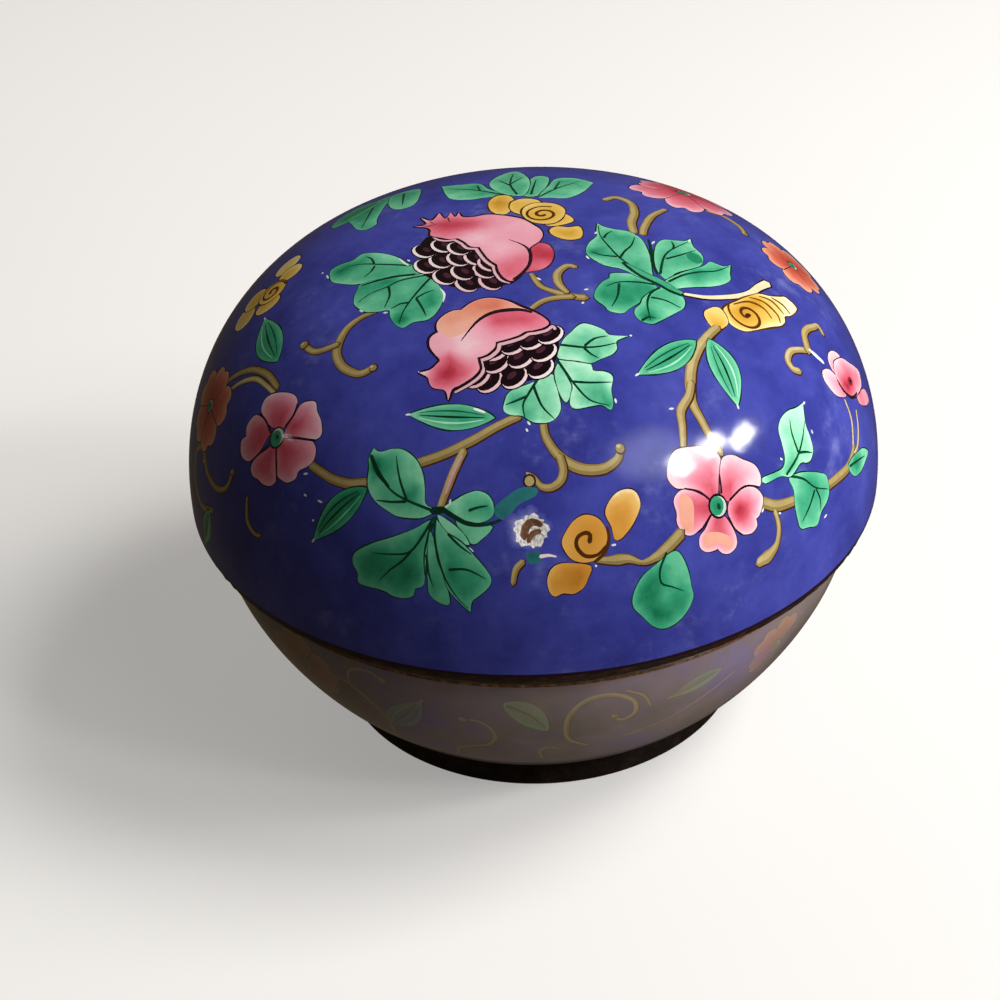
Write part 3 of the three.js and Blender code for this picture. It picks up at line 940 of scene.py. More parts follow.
def right_side(art):
    """The right blossom, its stems and the leaves and buds around it"""
    stem(art, ((24.9, -39.6), (23.3, -38.0), (21.8, -35.9), (20.4, -33.4), (20.4, -29.4), (21.4, -26.0),
               (23.0, -23.1), (24.6, -21.0)),
         (0.9, 1.1, 1.5, 1.3, 1.1), tone=0.6)
    stem(art, ((19.3, -40.0), (19.1, -37.4), (18.9, -35.2), (20.0, -33.0), (20.4, -31.0)), (0.8, 1.2, 1.0),
         tone=0.6)
    lance_leaf(art, (21.4, -24.2), (13.2, -31.0), 3.6, 0.4, 0.45)
    lance_leaf(art, (23.2, -23.4), (27.2, -32.6), 4.2, 0.3, 0.55)
    stem(art, ((32.4, -43.9), (35.0, -43.6), (36.8, -42.8), (38.8, -41.5)), (1.5, 1.5, 1.3))
    stem(art, ((35.4, -44.3), (36.8, -46.0), (37.2, -48.2), (36.3, -50.0), (35.2, -51.0), (34.4, -51.7)),
         (0.8, 0.9, 1.0, 1.9, 1.3), tone=0.6)
    petal(art, (
        (24.9, -45), (24.8, -42.7), (24.8, -40.2), (22.8, -39.4), (20.3, -39.8), (18.2, -40.6),
        (17.3, -42.2), (17.2, -44.2), (18.4, -45.3), (19.8, -45.2), (21.8, -45.1), (23.8, -46),
    ), "rose", fade((24.6, -45.6), 6.2, 0.12, 0.95))
    petal(art, (
        (25.4, -44.8), (25.0, -42.7), (25.1, -40.3), (26.6, -39.4), (28.4, -39.5), (30.4, -39.6),
        (31.6, -40.6), (31.8, -42.0), (30.2, -42.5), (28.8, -43.1), (27.7, -44.2), (26.8, -45.4),
    ), "rose", fade((26.4, -44.8), 5.0, 0.1, 0.9))
    petal(art, (
        (24.2, -46.2), (21.8, -45.4), (19.8, -45.3), (18.7, -46.0), (18.3, -47.1), (18.9, -48.4),
        (19.1, -49.7), (20.3, -50.8), (21.6, -50.8), (22.8, -49.8), (24.6, -47.8),
    ), "rose", mottled(0.72, (23.0, -47.0, 1.9, -0.62), (20.0, -49.4, 1.4, 0.0)))
    tinge(art, ((19.2, -46.0), (21.0, -46.4), (21.6, -48.4), (21.6, -50.2), (20.2, -50.2), (19.3, -48.4)))
    petal(art, (
        (24.6, -47.6), (23.6, -49.7), (22.9, -50.8), (23.2, -52.1), (24.4, -52.5), (25.8, -52.0),
        (26.2, -51.7), (26.2, -51.7), (27.1, -52.1), (28.4, -51.9), (29.4, -50.8), (29.2, -49.7),
        (28.2, -48.6), (26.4, -47.4),
    ), "rose", mottled(0.72, (26.0, -48.4, 1.7, -0.56)))
    tinge(art, ((23.6, -50.4), (26.0, -49.6), (28.6, -50.0), (28.4, -51.4), (26.4, -51.0), (24.2, -52.0)))
    petal(art, (
        (26.9, -45.6), (28.2, -43.9), (29.3, -42.9), (31.0, -42.5), (32.5, -43.1), (32.8, -44.2),
        (32.5, -45.8), (32.0, -46.3), (32.0, -46.3), (32.5, -47.1), (31.8, -48.3), (30.2, -48.9),
        (28.8, -48.7), (27.3, -47.4),
    ), "rose", mottled(0.82, (28.8, -45.9, 1.9, -0.74)))
    for line in (((27.0, -45.2), (28.6, -43.3), (30.0, -42.5), (31.7, -42.2)),
                 ((27.2, -47.4), (28.6, -48.6), (30.2, -49.0)),
                 ((24.2, -47.8), (23.2, -49.6), (22.6, -50.2)), ((23.8, -45.9), (22.0, -45.2), (19.8, -45.2)),
                 ((25.5, -44.6), (25.2, -43.4), (24.9, -42.4))):
        art.stroke(line, (0.34, 0.3, 0.24), "ink", 0.5)
    flower_eye(art, (25.2, -46.4), 1.5)
    stem(art, ((46.0, -35.9), (48.1, -33.5), (50.3, -30.6), (51.2, -27.9), (51.2, -26.2)), (1.3, 1.4, 1.1))
    for line in (((51.0, -26.4), (50.5, -24.6), (49.6, -22.5), (47.6, -20.9)),
                 ((51.8, -27.0), (52.5, -25.2), (52.1, -22.3), (51.1, -19.9))):
        art.stroke(line, (0.7, 0.7, 0.6), "umber", 0.2)
        art.stroke(line, (0.44, 0.44, 0.36), "stem", 0.85)
    leaf(art, ((50.5, -30.4), (51.2, -28.4), (52.6, -26.4), (54.6, -24.0), (57.0, -22.6), (56.2, -25.2),
               (55.0, -28.0), (53.0, -30.2)),
         (((50.9, -30.0), (53.0, -27.6), (55.6, -24.6)),),
         mottled(0.45, (53, -28, 1.2, -0.25), (55.6, -25, 1.4, 0.3)))
    leaf(art, (
        (37.2, -38.8), (38.8, -37.6), (40.7, -36.6), (43.3, -35.5), (45.0, -35.1), (46.4, -36.7),
        (46.4, -38.3), (45.6, -40.3), (45.4, -42.3), (43.6, -43.4), (41.6, -44.4), (40.1, -43.3),
        (39.0, -41.8), (38.3, -40.3), (37.1, -39.4),
    ), (
        ((37.0, -38.8), (39.9, -38.0), (42.8, -37.9), (45.9, -36.6)),
        ((43.1, -38.0), (44.6, -38.8), (45.4, -40.2)),
        ((42.8, -38.4), (42.4, -41.0), (41.6, -43.4)),
    ), mottled(0.5, (42.0, -37.0, 1.6, -0.24), (40.0, -41.0, 1.4, -0.1), (44.0, -40.6, 1.2, 0.12),
               (39.2, -39.2, 1.0, 0.2)))
    leaf(art, (
        (38.2, -27.5), (38.2, -27.5), (36.9, -28.9), (35.3, -30.2), (34.2, -31.9), (34.0, -33.5),
        (34.8, -35.1), (35.6, -36.7), (35.5, -38.2), (34.0, -39.5), (32.0, -40.9), (32.7, -41.4),
        (35.3, -39.5), (37.3, -38.7), (38.8, -36.2), (40.0, -35.6), (40.8, -34.8), (41.0, -33.2),
        (40.0, -31.6), (38.9, -30.3),
    ), (
        ((36.4, -38.8), (38.0, -35.6), (38.6, -32.7), (38.7, -30.0)),
        ((38.0, -34.9), (36.5, -33.0), (35.9, -31.2)),
        ((38.3, -34.9), (39.6, -34.2), (40.9, -33.7)),
    ), mottled(0.84, (36.6, -37.6, 1.2, -0.3), (34.2, -40, 1.6, -0.5), (38.4, -36.6, 1.2, -0.2),
               (37.2, -31.6, 1.4, 0.1)))
    painted_glints(art, (38.4, -27.4, 0.9, 60), (40.4, -30.8, 0.8, -50), (35.0, -37.2, 0.7, 0),
            (47.0, -40.2, 1.4, 60), (36.4, -44.2, 0.8, 10),
            (33.0, -44.9, 1.0, 70))
    stem(art, ((39.4, -17.9), (37.7, -18.8), (36.0, -20.1), (35.4, -21.9), (36.3, -23.0), (37.5, -22.7)),
         (0.9, 0.9, 1.1, 1.0), tone=0.65)
    stem(art, ((39.3, -18.0), (38.8, -15.2), (39.6, -13.4), (40.9, -12.0), (42.0, -10.9), (42.9, -11.9)),
         (1.4, 1.1, 1.0, 0.7), tone=0.6)
    # a white stroke on the stem: painted glint
    art.stroke(((39.6, -17.6), (42.4, -18.0)), (0.5, 0.7, 0.5), "white", 0.6)
    petal(art, ((43.3, -18.5), (42.2, -19.6), (42.2, -20.6), (43.0, -21.4), (44.9, -21.8), (46.5, -21.2),
                (48.0, -19.7), (46.4, -18.6), (44.6, -18.2)),
          "rose", sweep((48, -19.6), (43, -20), 0.4, 0.95))
    petal(art, ((46.4, -13.2), (44.8, -13.7), (43.7, -15.2), (43.6, -16.8), (44.6, -17.9), (46.2, -17.6),
                (46.8, -15)),
          "rose", sweep((46.4, -17), (44, -15), 0.5, 1.0))
    petal(art, ((52.4, -15.3), (53.5, -13.2), (55.1, -11.7), (56.6, -11.9), (55.8, -14.0), (54.2, -16.0),
                (52.4, -17.4), (51.4, -17)),
          "rose", mottled(0.5, (53, -15.6, 1.4, -0.25)))
    petal(art, (
        (45.3, -15.2), (47.0, -13.2), (49.2, -12.0), (51.1, -10.8), (52.8, -10.2), (53.2, -12.7),
        (51.8, -15.9), (50.6, -17.8), (48.4, -19.4), (46.4, -19.4), (45.1, -18.0), (44.8, -16.4),
    ), "rose", mottled(0.72, (49.4, -15.6, 1.8, -0.4), (48.2, -18.2, 1.6, -0.6), (46.6, -15.8, 1.2, 0.14),
                       (51.4, -12.4, 1.2, -0.14)))
    art.lay(ellipse((49.2, -15.9), 1.9, 1.3, 60), "rose", 0.0)
    art.lay(ellipse((49.3, -15.8), 0.9, 0.6, 60), "ink", 0.3)
    art.stroke(((45.6, -18.8), (47.6, -19.4), (49.8, -18.6), (51.4, -16.2)), (0.3, 0.6, 0.3), "ink", 0.4)


def upper_right(art):
    """The big leaf, the yellow flower on its stalk, and the flowers near the far edge"""
    stem(art, ((15.0, -1.6), (14.9, 1.4), (15.6, 4.8), (15.4, 8.2), (13.6, 10.0), (11.9, 9.0)),
         (1.1, 1.3, 1.1, 1.0), tone=0.55)
    stem(art, ((16.2, -2.0), (16.6, 0.2), (18.0, 4.0), (20.2, 7.0)), (1.0, 1.1, 0.8), tone=0.55)
    stem(art, ((27.0, 10.4), (29.6, 10.4), (31.6, 8.2), (32.0, 5.8)), (0.8, 1.1, 0.8), 0.5)
    art.at(24.4, 18.2)
    blossom(art, 9.4, ((-93, 26, 1), (-146, 26, 0.98), (-40, 26, 0.94), (90, 36, 0.8), (165, 36, 0.7),
                       (22, 32, 0.8)), eye=1.2)
    art.on_chart()
    art.at(39.6, 3.0)
    blossom(art, 6.2, ((-85, 36, 1), (-157, 36, 0.9), (60, 36, 1), (130, 36, 0.9), (-13, 36, 0.9)), "coral",
            0.9)
    art.on_chart()
    leaf(art, (
        (17.4, -11.8), (17.1, -9.6), (17.3, -6.8), (17.9, -4.4), (18.9, -3.1), (20.6, -2.9), (22.0, -2.6),
        (22.8, -1.6), (22.8, -1.6), (23.0, -3.9), (23.9, -5.5), (24.0, -7.2), (23.2, -9.0), (21.5, -10.2),
        (19.8, -11.4), (18.4, -13.2),
    ), (
        ((17.6, -12.0), (18.4, -8.2), (19.4, -6.1), (21.3, -3.9), (22.5, -2.6)),
        ((18.8, -8.2), (20.8, -6.8), (23.2, -4.8)),
        ((20.0, -5.4), (20.2, -4.4), (20.0, -3.2)),
    ), mottled(0.5, (18.6, -4.8, 1.1, 0.1), (21.8, -5.0, 1.1, 0.22), (20.0, -9.4, 1.3, 0.06)))
    art.lay(ellipse((22.8, -6.9), 2.2, 2.8, 20), "leaf", fade((22.8, -6.9), 1.6, 0.16, 0.46))
    leaf(art, (
        (18.0, -13.8), (20.3, -11.4), (22.2, -9.9), (23.9, -8.5), (24.9, -7.1), (25.7, -7.2), (26.9, -7.4),
        (28.0, -6.5), (28.0, -6.5), (27.6, -9.0), (27.5, -10.4), (26.3, -11.9), (24.4, -13.1),
        (22.2, -13.9), (20.3, -14.6), (18.8, -15.2),
    ), (
        ((18.6, -13.6), (20.8, -11.6), (23.0, -10.3), (25.6, -9.1), (27.7, -7.0)),
    ), mottled(0.5, (23.0, -10.8, 1.6, -0.3), (24.6, -12.2, 1.6, 0.26), (20.6, -13.6, 1.4, 0.2),
               (25.8, -8.2, 1.0, -0.12)))
    leaf(art, (
        (16.4, -14.4), (14.2, -12.8), (12.2, -12.5), (10.9, -12.8), (10.7, -13.8), (9.7, -14.7),
        (8.7, -16.6), (8.5, -18.3), (9.7, -19.8), (10.2, -20.7), (11.9, -21.0), (13.0, -19.9), (15, -18),
        (17, -16),
    ), (
        ((16.6, -14.6), (14.6, -14.4), (11.9, -14.6), (10.2, -15.6)),
        ((11.9, -15.0), (11.5, -17.6), (10.6, -19.8)),
    ), mottled(0.36, (12.6, -13.4, 1.1, 0.24), (14.0, -17.4, 1.6, -0.1), (9.6, -17.2, 1.2, -0.14),
               (11.2, -20.4, 0.9, 0.36)))
    leaf(art, (
        (17.2, -15.2), (19.4, -15.0), (20.4, -17.0), (20.2, -18.6), (19.1, -19.8), (17.7, -21.0),
        (16.5, -22.0), (15.6, -22.5), (14.3, -22.2), (13.5, -21.2), (13.6, -20.0), (14.4, -18.9),
        (15.0, -17.4),
    ), (
        ((17.2, -15.2), (15.9, -16.6), (15.3, -18.8), (15.5, -21.8)),
        ((16.0, -17.4), (17.8, -17.7), (19.8, -18.8)),
        ((14.4, -22.0), (15.4, -21.2), (16.2, -21.4)),
    ), mottled(0.5, (17.8, -19.2, 1.3, 0.22), (18.8, -16.4, 1.1, 0.1), (15.2, -21.2, 1.0, -0.36)))
    leaf(art, (
        (17.4, -14.6), (16.6, -12.6), (16.6, -9.4), (16.5, -6.8), (16.0, -3.9), (15.2, -2.4), (14.0, -1.3),
        (12.2, -0.8), (11.0, -0.1), (10.2, 0.9), (10.2, 0.9), (9.9, -1.4), (9.8, -3.0), (8.8, -4.6),
        (8.2, -6.3), (8.2, -8.0), (9.2, -9.7), (10.5, -10.9), (12.6, -11.6), (14.4, -13.0),
    ), (
        ((17.0, -14.2), (14.8, -12.3), (13.4, -10.2), (12.2, -8.2), (11.0, -5.1), (10.3, -2.6), (10.3, 0.2)),
        ((12.6, -8.6), (13.3, -7.0), (14.3, -5.4), (15.0, -3.0)),
        ((10.8, -3.4), (11.2, -2.4), (12.0, -1.4)),
        ((12.0, -8.5), (10.2, -8.2), (8.9, -7.4)),
    ), mottled(0.54, (9.2, -7.2, 1.2, -0.36), (13.0, -3.4, 1.6, -0.14), (15.4, -10.6, 1.2, -0.16),
               (14.6, -8.0, 1.2, 0.12), (12.4, -6.6, 0.9, 0.16)))
    art.stroke(((12.8, -10.0), (15.0, -12.4), (17.4, -14.0), (19.0, -15.4), (20.4, -16.0)),
               (0.5, 1.3, 1.7, 1.5, 1.0), "leaf", 0.02)
    art.stroke(((13.2, -10.2), (15.2, -12.3), (17.4, -13.8), (19.0, -15.1), (20.2, -15.7)),
               (0.1, 0.8, 1.0, 0.9, 0.5), "leaf", 0.55)
    art.stroke(((16.8, -3.4), (16.9, -6.6), (16.8, -9.6), (17.2, -12.4)), (0.3, 0.5, 0.5, 0.2), "leaf", 0.0)
    painted_glints(art, (17.4, -4.2, 1.4, 65), (22.6, -2.4, 1.2, 75), (8.2, -8.8, 1.4, -70), (9.8, -2.0, 1.0, 70))
    stem(art, ((24.8, -20.6), (23.4, -22.6), (22.6, -24.2)), (1.2, 1.3), tone=0.6)
    art.lay(ribbon(((20.5, -15.9), (23.0, -15.9), (25.2, -15.2), (28.0, -13.8), (30.2, -12.1), (31.8, -9.9),
                    (33.5, -7.8)),
                   (0.9, 1.0, 1.1, 1.4, 1.8)), "ink")
    art.lay(ribbon(((20.6, -15.8), (23.0, -15.7), (25.1, -15.1), (28.0, -13.7), (30.2, -12.0), (31.8, -9.8),
                    (33.4, -7.9)),
                   (0.5, 0.7, 0.8, 1.0, 1.3)), "stem", 0.95)
    whole = loop(
        (25.8, -17.6), (26.3, -16.4), (28.0, -14.7), (29.4, -13.3), (31.6, -11.4), (33.5, -10.8),
        (35.2, -9.8), (36.2, -9.2), (37.9, -10.1), (37.5, -11.6), (36.5, -13.0), (35.5, -13.8),
        (35.4, -15.0), (34.6, -16.2), (33.0, -17.3), (30.4, -19.2), (28.5, -20.2), (26.6, -19.7),
    )
    art.lay(grown(whole, 0.26), "umber", 0.3)
    art.lay(whole, "yellow", rimmed(mottled(0.72, (28.6, -16.8, 2.4, -0.45), (30.6, -13.2, 1.6, -0.5),
                                            (36.6, -11.0, 1.8, 0.3)), whole, 0.3, 0.6))
    for line in (((27.4, -15.6), (29.8, -14.0), (32.0, -14.2), (33.2, -15.6)),
                 ((30.0, -13.0), (32.2, -12.8), (34.2, -14.2), (34.6, -15.6)),
                 ((31.6, -11.9), (33.6, -11.8), (35.4, -13.4)),
                 ((33.6, -11.0), (35.4, -11.4), (36.6, -12.6))):
        art.stroke(line, (0.2, 0.46, 0.2), "umber", 0.6)
    coil(art, (29.3, -16.9), 2.9, 150, 1.35, (0.3, 0.45, 0.5, 0.4))
    art.lay(ellipse((29.4, -16.9), 1.1, 0.7, 40), "umber", 0.1)
    petal(art, ((24.6, -17.2), (25.6, -17.5), (26.3, -19.3), (25.6, -20.7), (24.2, -21.4), (23.2, -20.2),
                (23.0, -18.6)), "yellow", mottled(0.55, (25, -20.4, 1, -0.2)))


def top_middle(art):
    """The leaves and the yellow flower behind the upper fruit"""
    leaf(art, ((2.4, 10.6), (4.0, 14.6), (4.4, 18.6), (2.6, 19.4), (1.2, 16), (0.2, 11.4)),
         (((1.6, 11.4), (2.6, 17.6)),), mottled(0.5))
    leaf(art, (
        (2.6, 10.2), (4.0, 9.8), (6.8, 9.6), (9.2, 12.2), (10.8, 16.2), (10.8, 16.2), (8.4, 18.2),
        (5.6, 18.0), (4.2, 14.4),
    ), (((2.8, 10.4), (5.4, 13.4), (8.8, 16.6)), ((5.0, 13.0), (6.0, 16.6))),
    mottled(0.5, (7.2, 12.6, 1.6, 0.2), (5.6, 15.4, 1.4, -0.1)))
    leaf(art, (
        (-0.6, 11.0), (-4.4, 11.2), (-7.2, 10.9), (-10.0, 12.4), (-11.2, 18.6), (-11.2, 18.6), (-8.0, 18.0),
        (-5.6, 17.4), (-4.0, 14.0),
    ), (((-2.2, 11.6), (-6.0, 14.4), (-10.0, 16.6)), ((-5.6, 14.2), (-6.0, 16.8))),
    mottled(0.45, (-8.6, 13, 1.8, 0.24), (-6, 16, 1.2, -0.1)))
    leaf(art, (
        (0.4, 11.0), (-2.8, 12.6), (-4.2, 16.6), (-3.0, 20.4), (-0.4, 23.4), (1.2, 20.0), (1.6, 15.4),
    ), (((-0.4, 11.6), (-1.2, 16.0), (-0.6, 21.6)), ((-1.2, 15.4), (-2.8, 18.2)),
        ((-1.1, 16.2), (0.6, 19.0))),
        mottled(0.52, (-2.4, 15.4, 1.2, 0.1), (0.4, 17.4, 1.2, 0.1)))
    for outline in (
        ((-4.3, 6.6), (-4.4, 9.4), (-3.2, 11.4), (-1.4, 11.0), (-0.9, 8.4), (-1.9, 5.2), (-3.2, 5.0)),
        ((-1.5, 6.4), (-1.2, 8.8), (0.6, 9.8), (2.6, 8.8), (2.6, 6.4), (0.8, 4.4), (-0.6, 4.9)),
        ((6.2, -0.2), (7.6, 0.0), (8.0, -1.6), (7.6, -3.4), (5.8, -3.8), (4.0, -2.4), (3.6, -0.8),
         (4.6, 0.2)),
        ((3.4, 0.6), (5.2, 0.6), (7.0, 1.8), (6.2, 3.8), (4.6, 4.2), (2.4, 2.4)),
        ((0.2, 4.0), (0.4, 6.6), (2.0, 8.0), (4.6, 7.6), (6.0, 5.6), (5.6, 3.0), (4.0, 1.2), (1.6, 1.8)),
    ):
        shape = loop(*outline)
        art.lay(grown(shape, 0.24), "umber", 0.2)
        art.lay(shape, "yellow", rimmed(mottled(0.5, (-3.4, 8.6, 1.5, -0.25), (6.2, -2.2, 1.6, -0.15),
                                                (1.4, 6.6, 1.3, 0.15)), shape, 0.22, 0.6))
    coil(art, (2.9, 4.3), 2.6, 60, 1.7, (0.3, 0.42, 0.5, 0.6))


def far_side(art):
    """The back of the lid, painted more simply with the same motifs"""
    for x, y, turn in ((-30, 40, 10), (33, 38, -20), (2, 56, 0)):
        art.at(x, y, turn)
        blossom(art, 7.2, FIVE_PETALS)
    for x, y, turn in ((-47, 24, 60), (12, 38, 200), (-13, 36, 150), (50, 24, -60), (-22, 58, 20),
                       (27, 57, -30)):
        art.at(x, y, turn)
        vine_leaf(art, (0, -6), (((-6.5, -1.0), 6.2), ((0, 5.6), 7.4), ((6.6, -1.0), 6.2)))
    art.at(-1, 45, 30)
    rolled_flower(art, "yellow", (((-3.6, 1.6), 5, 3.6, 60), ((3.6, -1.6), 5, 3.6, 60),
                                  ((2, 2.6), 4, 3.4, 0)), (0, 0), 2.3)
    for x, y, turn in ((-38, 52, 0), (42, 48, 40), (-8, 64, 90), (-54, 6, 30), (56, 6, -40), (14, 63, -60),
                       (-59, -20, 80)):
        art.at(x, y, turn)
        stem(art, ((-6, -3), (-3, 0.6), (1.5, 1.2), (4.4, -1.2), (3.6, -4.2), (1.4, -4.4)), (0.8, 1.2, 0.9),
             0.6)
        lance_leaf(art, (-5.4, -2.0), (-6.4, 5.4), 3.0, 0.3)
    art.on_chart()


def enamel_loss(art):
    """A shallow flake out of the enamel, with green smudges where it was once touched up"""
    for outline in (
        ((-6.6, -48.4), (-4.6, -46.9), (-2.5, -46.0), (-0.5, -46.3), (-0.9, -47.2), (-3.2, -48.1),
         (-5.2, -49.8)),
        ((-2.5, -53.8), (-0.7, -54.0), (-0.5, -54.8), (-0.9, -55.4), (-2.3, -55.3)),
    ):
        shape = loop(*outline)
        art.lay(shape, "smudge", rimmed(lambda p: np.full(len(p), 0.1), shape, 0.9, 0.7))
    art.stroke(((-0.6, -54.6), (0.6, -54.5), (1.6, -54.7)), (0.5, 0.4, 0.2), "shell", 0.9)
    angle = np.arange(46) * TURN / 46
    ragged = 1 + 0.08 * np.sin(5 * angle + 1) + 0.06 * np.sin(11 * angle) + 0.05 * np.sin(17 * angle + 2)
    edge = np.column_stack((2.35 * ragged * np.cos(angle), 2.0 * ragged * np.sin(angle))) + FLAKE
    halo = (edge - FLAKE) * 1.4 + FLAKE + (-0.5, 0.2)
    art.lay(halo, "haze", rimmed(lambda p: np.full(len(p), 0.85), halo, -0.8, 0.8))
    art.lay(edge, "chip_edge", fade(FLAKE, 2.4, 0.2, 1.0))
    art.stroke(((-0.3, -50.7), (-1.4, -50.3), (-2.4, -50.9), (-2.7, -52.0)), (0.7, 1.1, 1.2), "chip_copper",
               0.7)
    art.stroke(((-0.5, -51.5), (-1.6, -51.8), (-2.2, -52.7)), (0.6, 0.8, 0.6), "chip_copper", 0.1)


def circle(radius):
    """A whole circle of the chart, with one corner for each side of the round pieces"""
    angle = np.arange(ROUND) * TURN / ROUND
    return np.column_stack((radius * np.cos(angle), radius * np.sin(angle)))


def lid_art():
    """The painting over the whole lid, whose turned-under edge is left as bare copper"""
    art = Painting(lid_profile)
    art.lay(circle(lid_profile.end), "rim")
    # a dark ink band above the bare copper: painted shade where the edge turns under
    art.lay(circle(lid_profile.end - bare_edge), "ink", 0.3)
    art.lay(circle(lid_profile.end - bare_edge - painted_shade_line), "ground")
    for part in (far_side, top_middle, upper_right, upper_left, leaf_by_upper_fruit, pomegranate_up,
                 fruit_stems, left_side,
                 low_left, right_side, low_middle, leaves_by_lower_fruit, pomegranate_low, enamel_loss):
        part(art)
        art.on_chart()
    return art


# ---------------------------------------------------------------- the bowl's painting


def bowl_sprig(art, start):
    """A third of the way round the bowl: scrolls and leaves between two flowers"""
    def at(bearing, depth, turn=0.0):
        art.on_side(start + bearing, depth, turn)

    at(-46, 7)
    blossom(art, 6.6, FIVE_PETALS, "coral", 1.3)
    at(-32, 4)
    stem(art, ((-2.4, -2.2), (-2.2, 0.2), (-0.9, 1.7), (1.6, 2.2), (3.4, 1.3)), (0.4, 0.6, 0.5), 0.55, 0.8)
    at(-33, 14)
    stem(art, ((-6.0, 8.0), (-1.8, 7.8), (1.2, 4.2), (1.7, 0), (0.6, -6.0), (-2.2, -10.0), (-4.6, -13.0)),
         (0.4, 0.65, 0.6, 0.4), tone=0.8)
    at(-25.5, 10)
    lance_leaf(art, (-3.8, -5.2), (3.4, 5.0), 4.4)
    at(-12, 12)
    stem(art, ((-4.8, -10.6), (-4.2, -7.0), (-2.2, -5.0), (0.2, -3.8), (1.7, -1.0), (1.4, 2.0), (0.0, 3.8),
               (-2.2, 3.9)),
         (0.35, 0.6, 0.5), 0.6, 0.75)
    at(-4, 6.6)
    leaf(art, ((-2.8, 3.0), (0.2, 3.4), (2.4, 1.0), (2.8, -3.6), (0.4, -2.6), (-1.8, -0.2)),
         (((-2.4, 2.6), (0.6, 0.4), (2.4, -2.8)),),
         mottled(0.7))
    at(9, 8)
    stem(art, ((-1.6, -8.8), (-4.2, -6.0), (-5.0, -2.4), (-4.6, 1.6), (-2.4, 4.4), (1.0, 4.7), (3.8, 2.6),
               (4.2, -0.4), (2.6, -1.8), (1.4, -0.4)),
         (0.5, 0.8, 0.8, 0.6), 0.5, 0.75)
    stem(art, ((2.8, 5.0), (5.2, 3.2), (6.4, 0.2)), (0.3, 0.45, 0.3), tone=0.7)
    at(-0.5, 18)
    stem(art, ((-0.8, -3.6), (-1.1, 0.0), (0.2, 1.8), (1.4, 0.6)), (0.35, 0.55, 0.45), tone=0.75)
    at(25, 6)
    lance_leaf(art, (4.0, 1.4), (-3.6, -1.0), 3.0)
    at(22, 12)
    stem(art, ((-6.4, -3.6), (-1.0, -1.8), (4.0, 1.4), (9.0, 5.0)), (0.3, 0.5, 0.35), tone=0.7)
    at(43, 7)
    blossom(art, 5.6, ((70, 34, 1), (136, 34, 1), (206, 34, 0.9)), "coral", 1.2)
    at(40, 18)
    stem(art, ((-7.0, -3.0), (-2.0, 1.0), (4.0, 1.0), (8.0, -2.6), (6.2, -5.6), (3.6, -4.4)),
         (0.4, 0.7, 0.5), 0.5, 0.7)
    at(52, 15)
    lance_leaf(art, (-2.0, -4.0), (2.4, 4.4), 4.0)


def bowl_art():
    """The scrolls and flowers round the bowl, whose upper edge is left as bare copper"""
    art = Painting(bowl_profile)
    art.lay(circle(bowl_profile.end), "chip_copper")
    art.lay(circle(bowl_profile.end - 0.5), "ground")
    for start in (120, 240, 0):
        bowl_sprig(art, start)
    return art


# ---------------------------------------------------------------- shader helpers


def colour(text):
    """A web colour such as 3f3f9f as linear numbers"""
    parts = [int(text[i:i + 2], 16) / 255 for i in (0, 2, 4)]
    return tuple(c / 12.92 if c <= 0.04045 else ((c + 0.055) / 1.055) ** 2.4 for c in parts) + (1.0,)


class Value:
    """A number in a shader, which Python's operators work on by adding Math nodes"""

    def __init__(self, finish, socket):
        self.finish = finish
        self.socket = socket

    def math(self, operation, *others, clamp=False):
        values = dict(enumerate((self,) + others))
        node = self.finish.node("ShaderNodeMath", {"operation": operation, "use_clamp": clamp}, values)
        return Value(self.finish, node.outputs[0])

    def __add__(self, other):
        return self.math("ADD", other)

    def __sub__(self, other):
        return self.math("SUBTRACT", other)

    def __rsub__(self, other):
        return (self * -1) + other

    def __mul__(self, other):
        return self.math("MULTIPLY", other)

    __radd__ = __add__
    __rmul__ = __mul__

    def between(self, low, high):
        """0 below low, 1 above high, smooth in between"""
        settings = {"interpolation_type": "SMOOTHSTEP"}
        node = self.finish.node("ShaderNodeMapRange", settings, {0: self, 1: low, 2: high})
        return Value(self.finish, node.outputs[0])


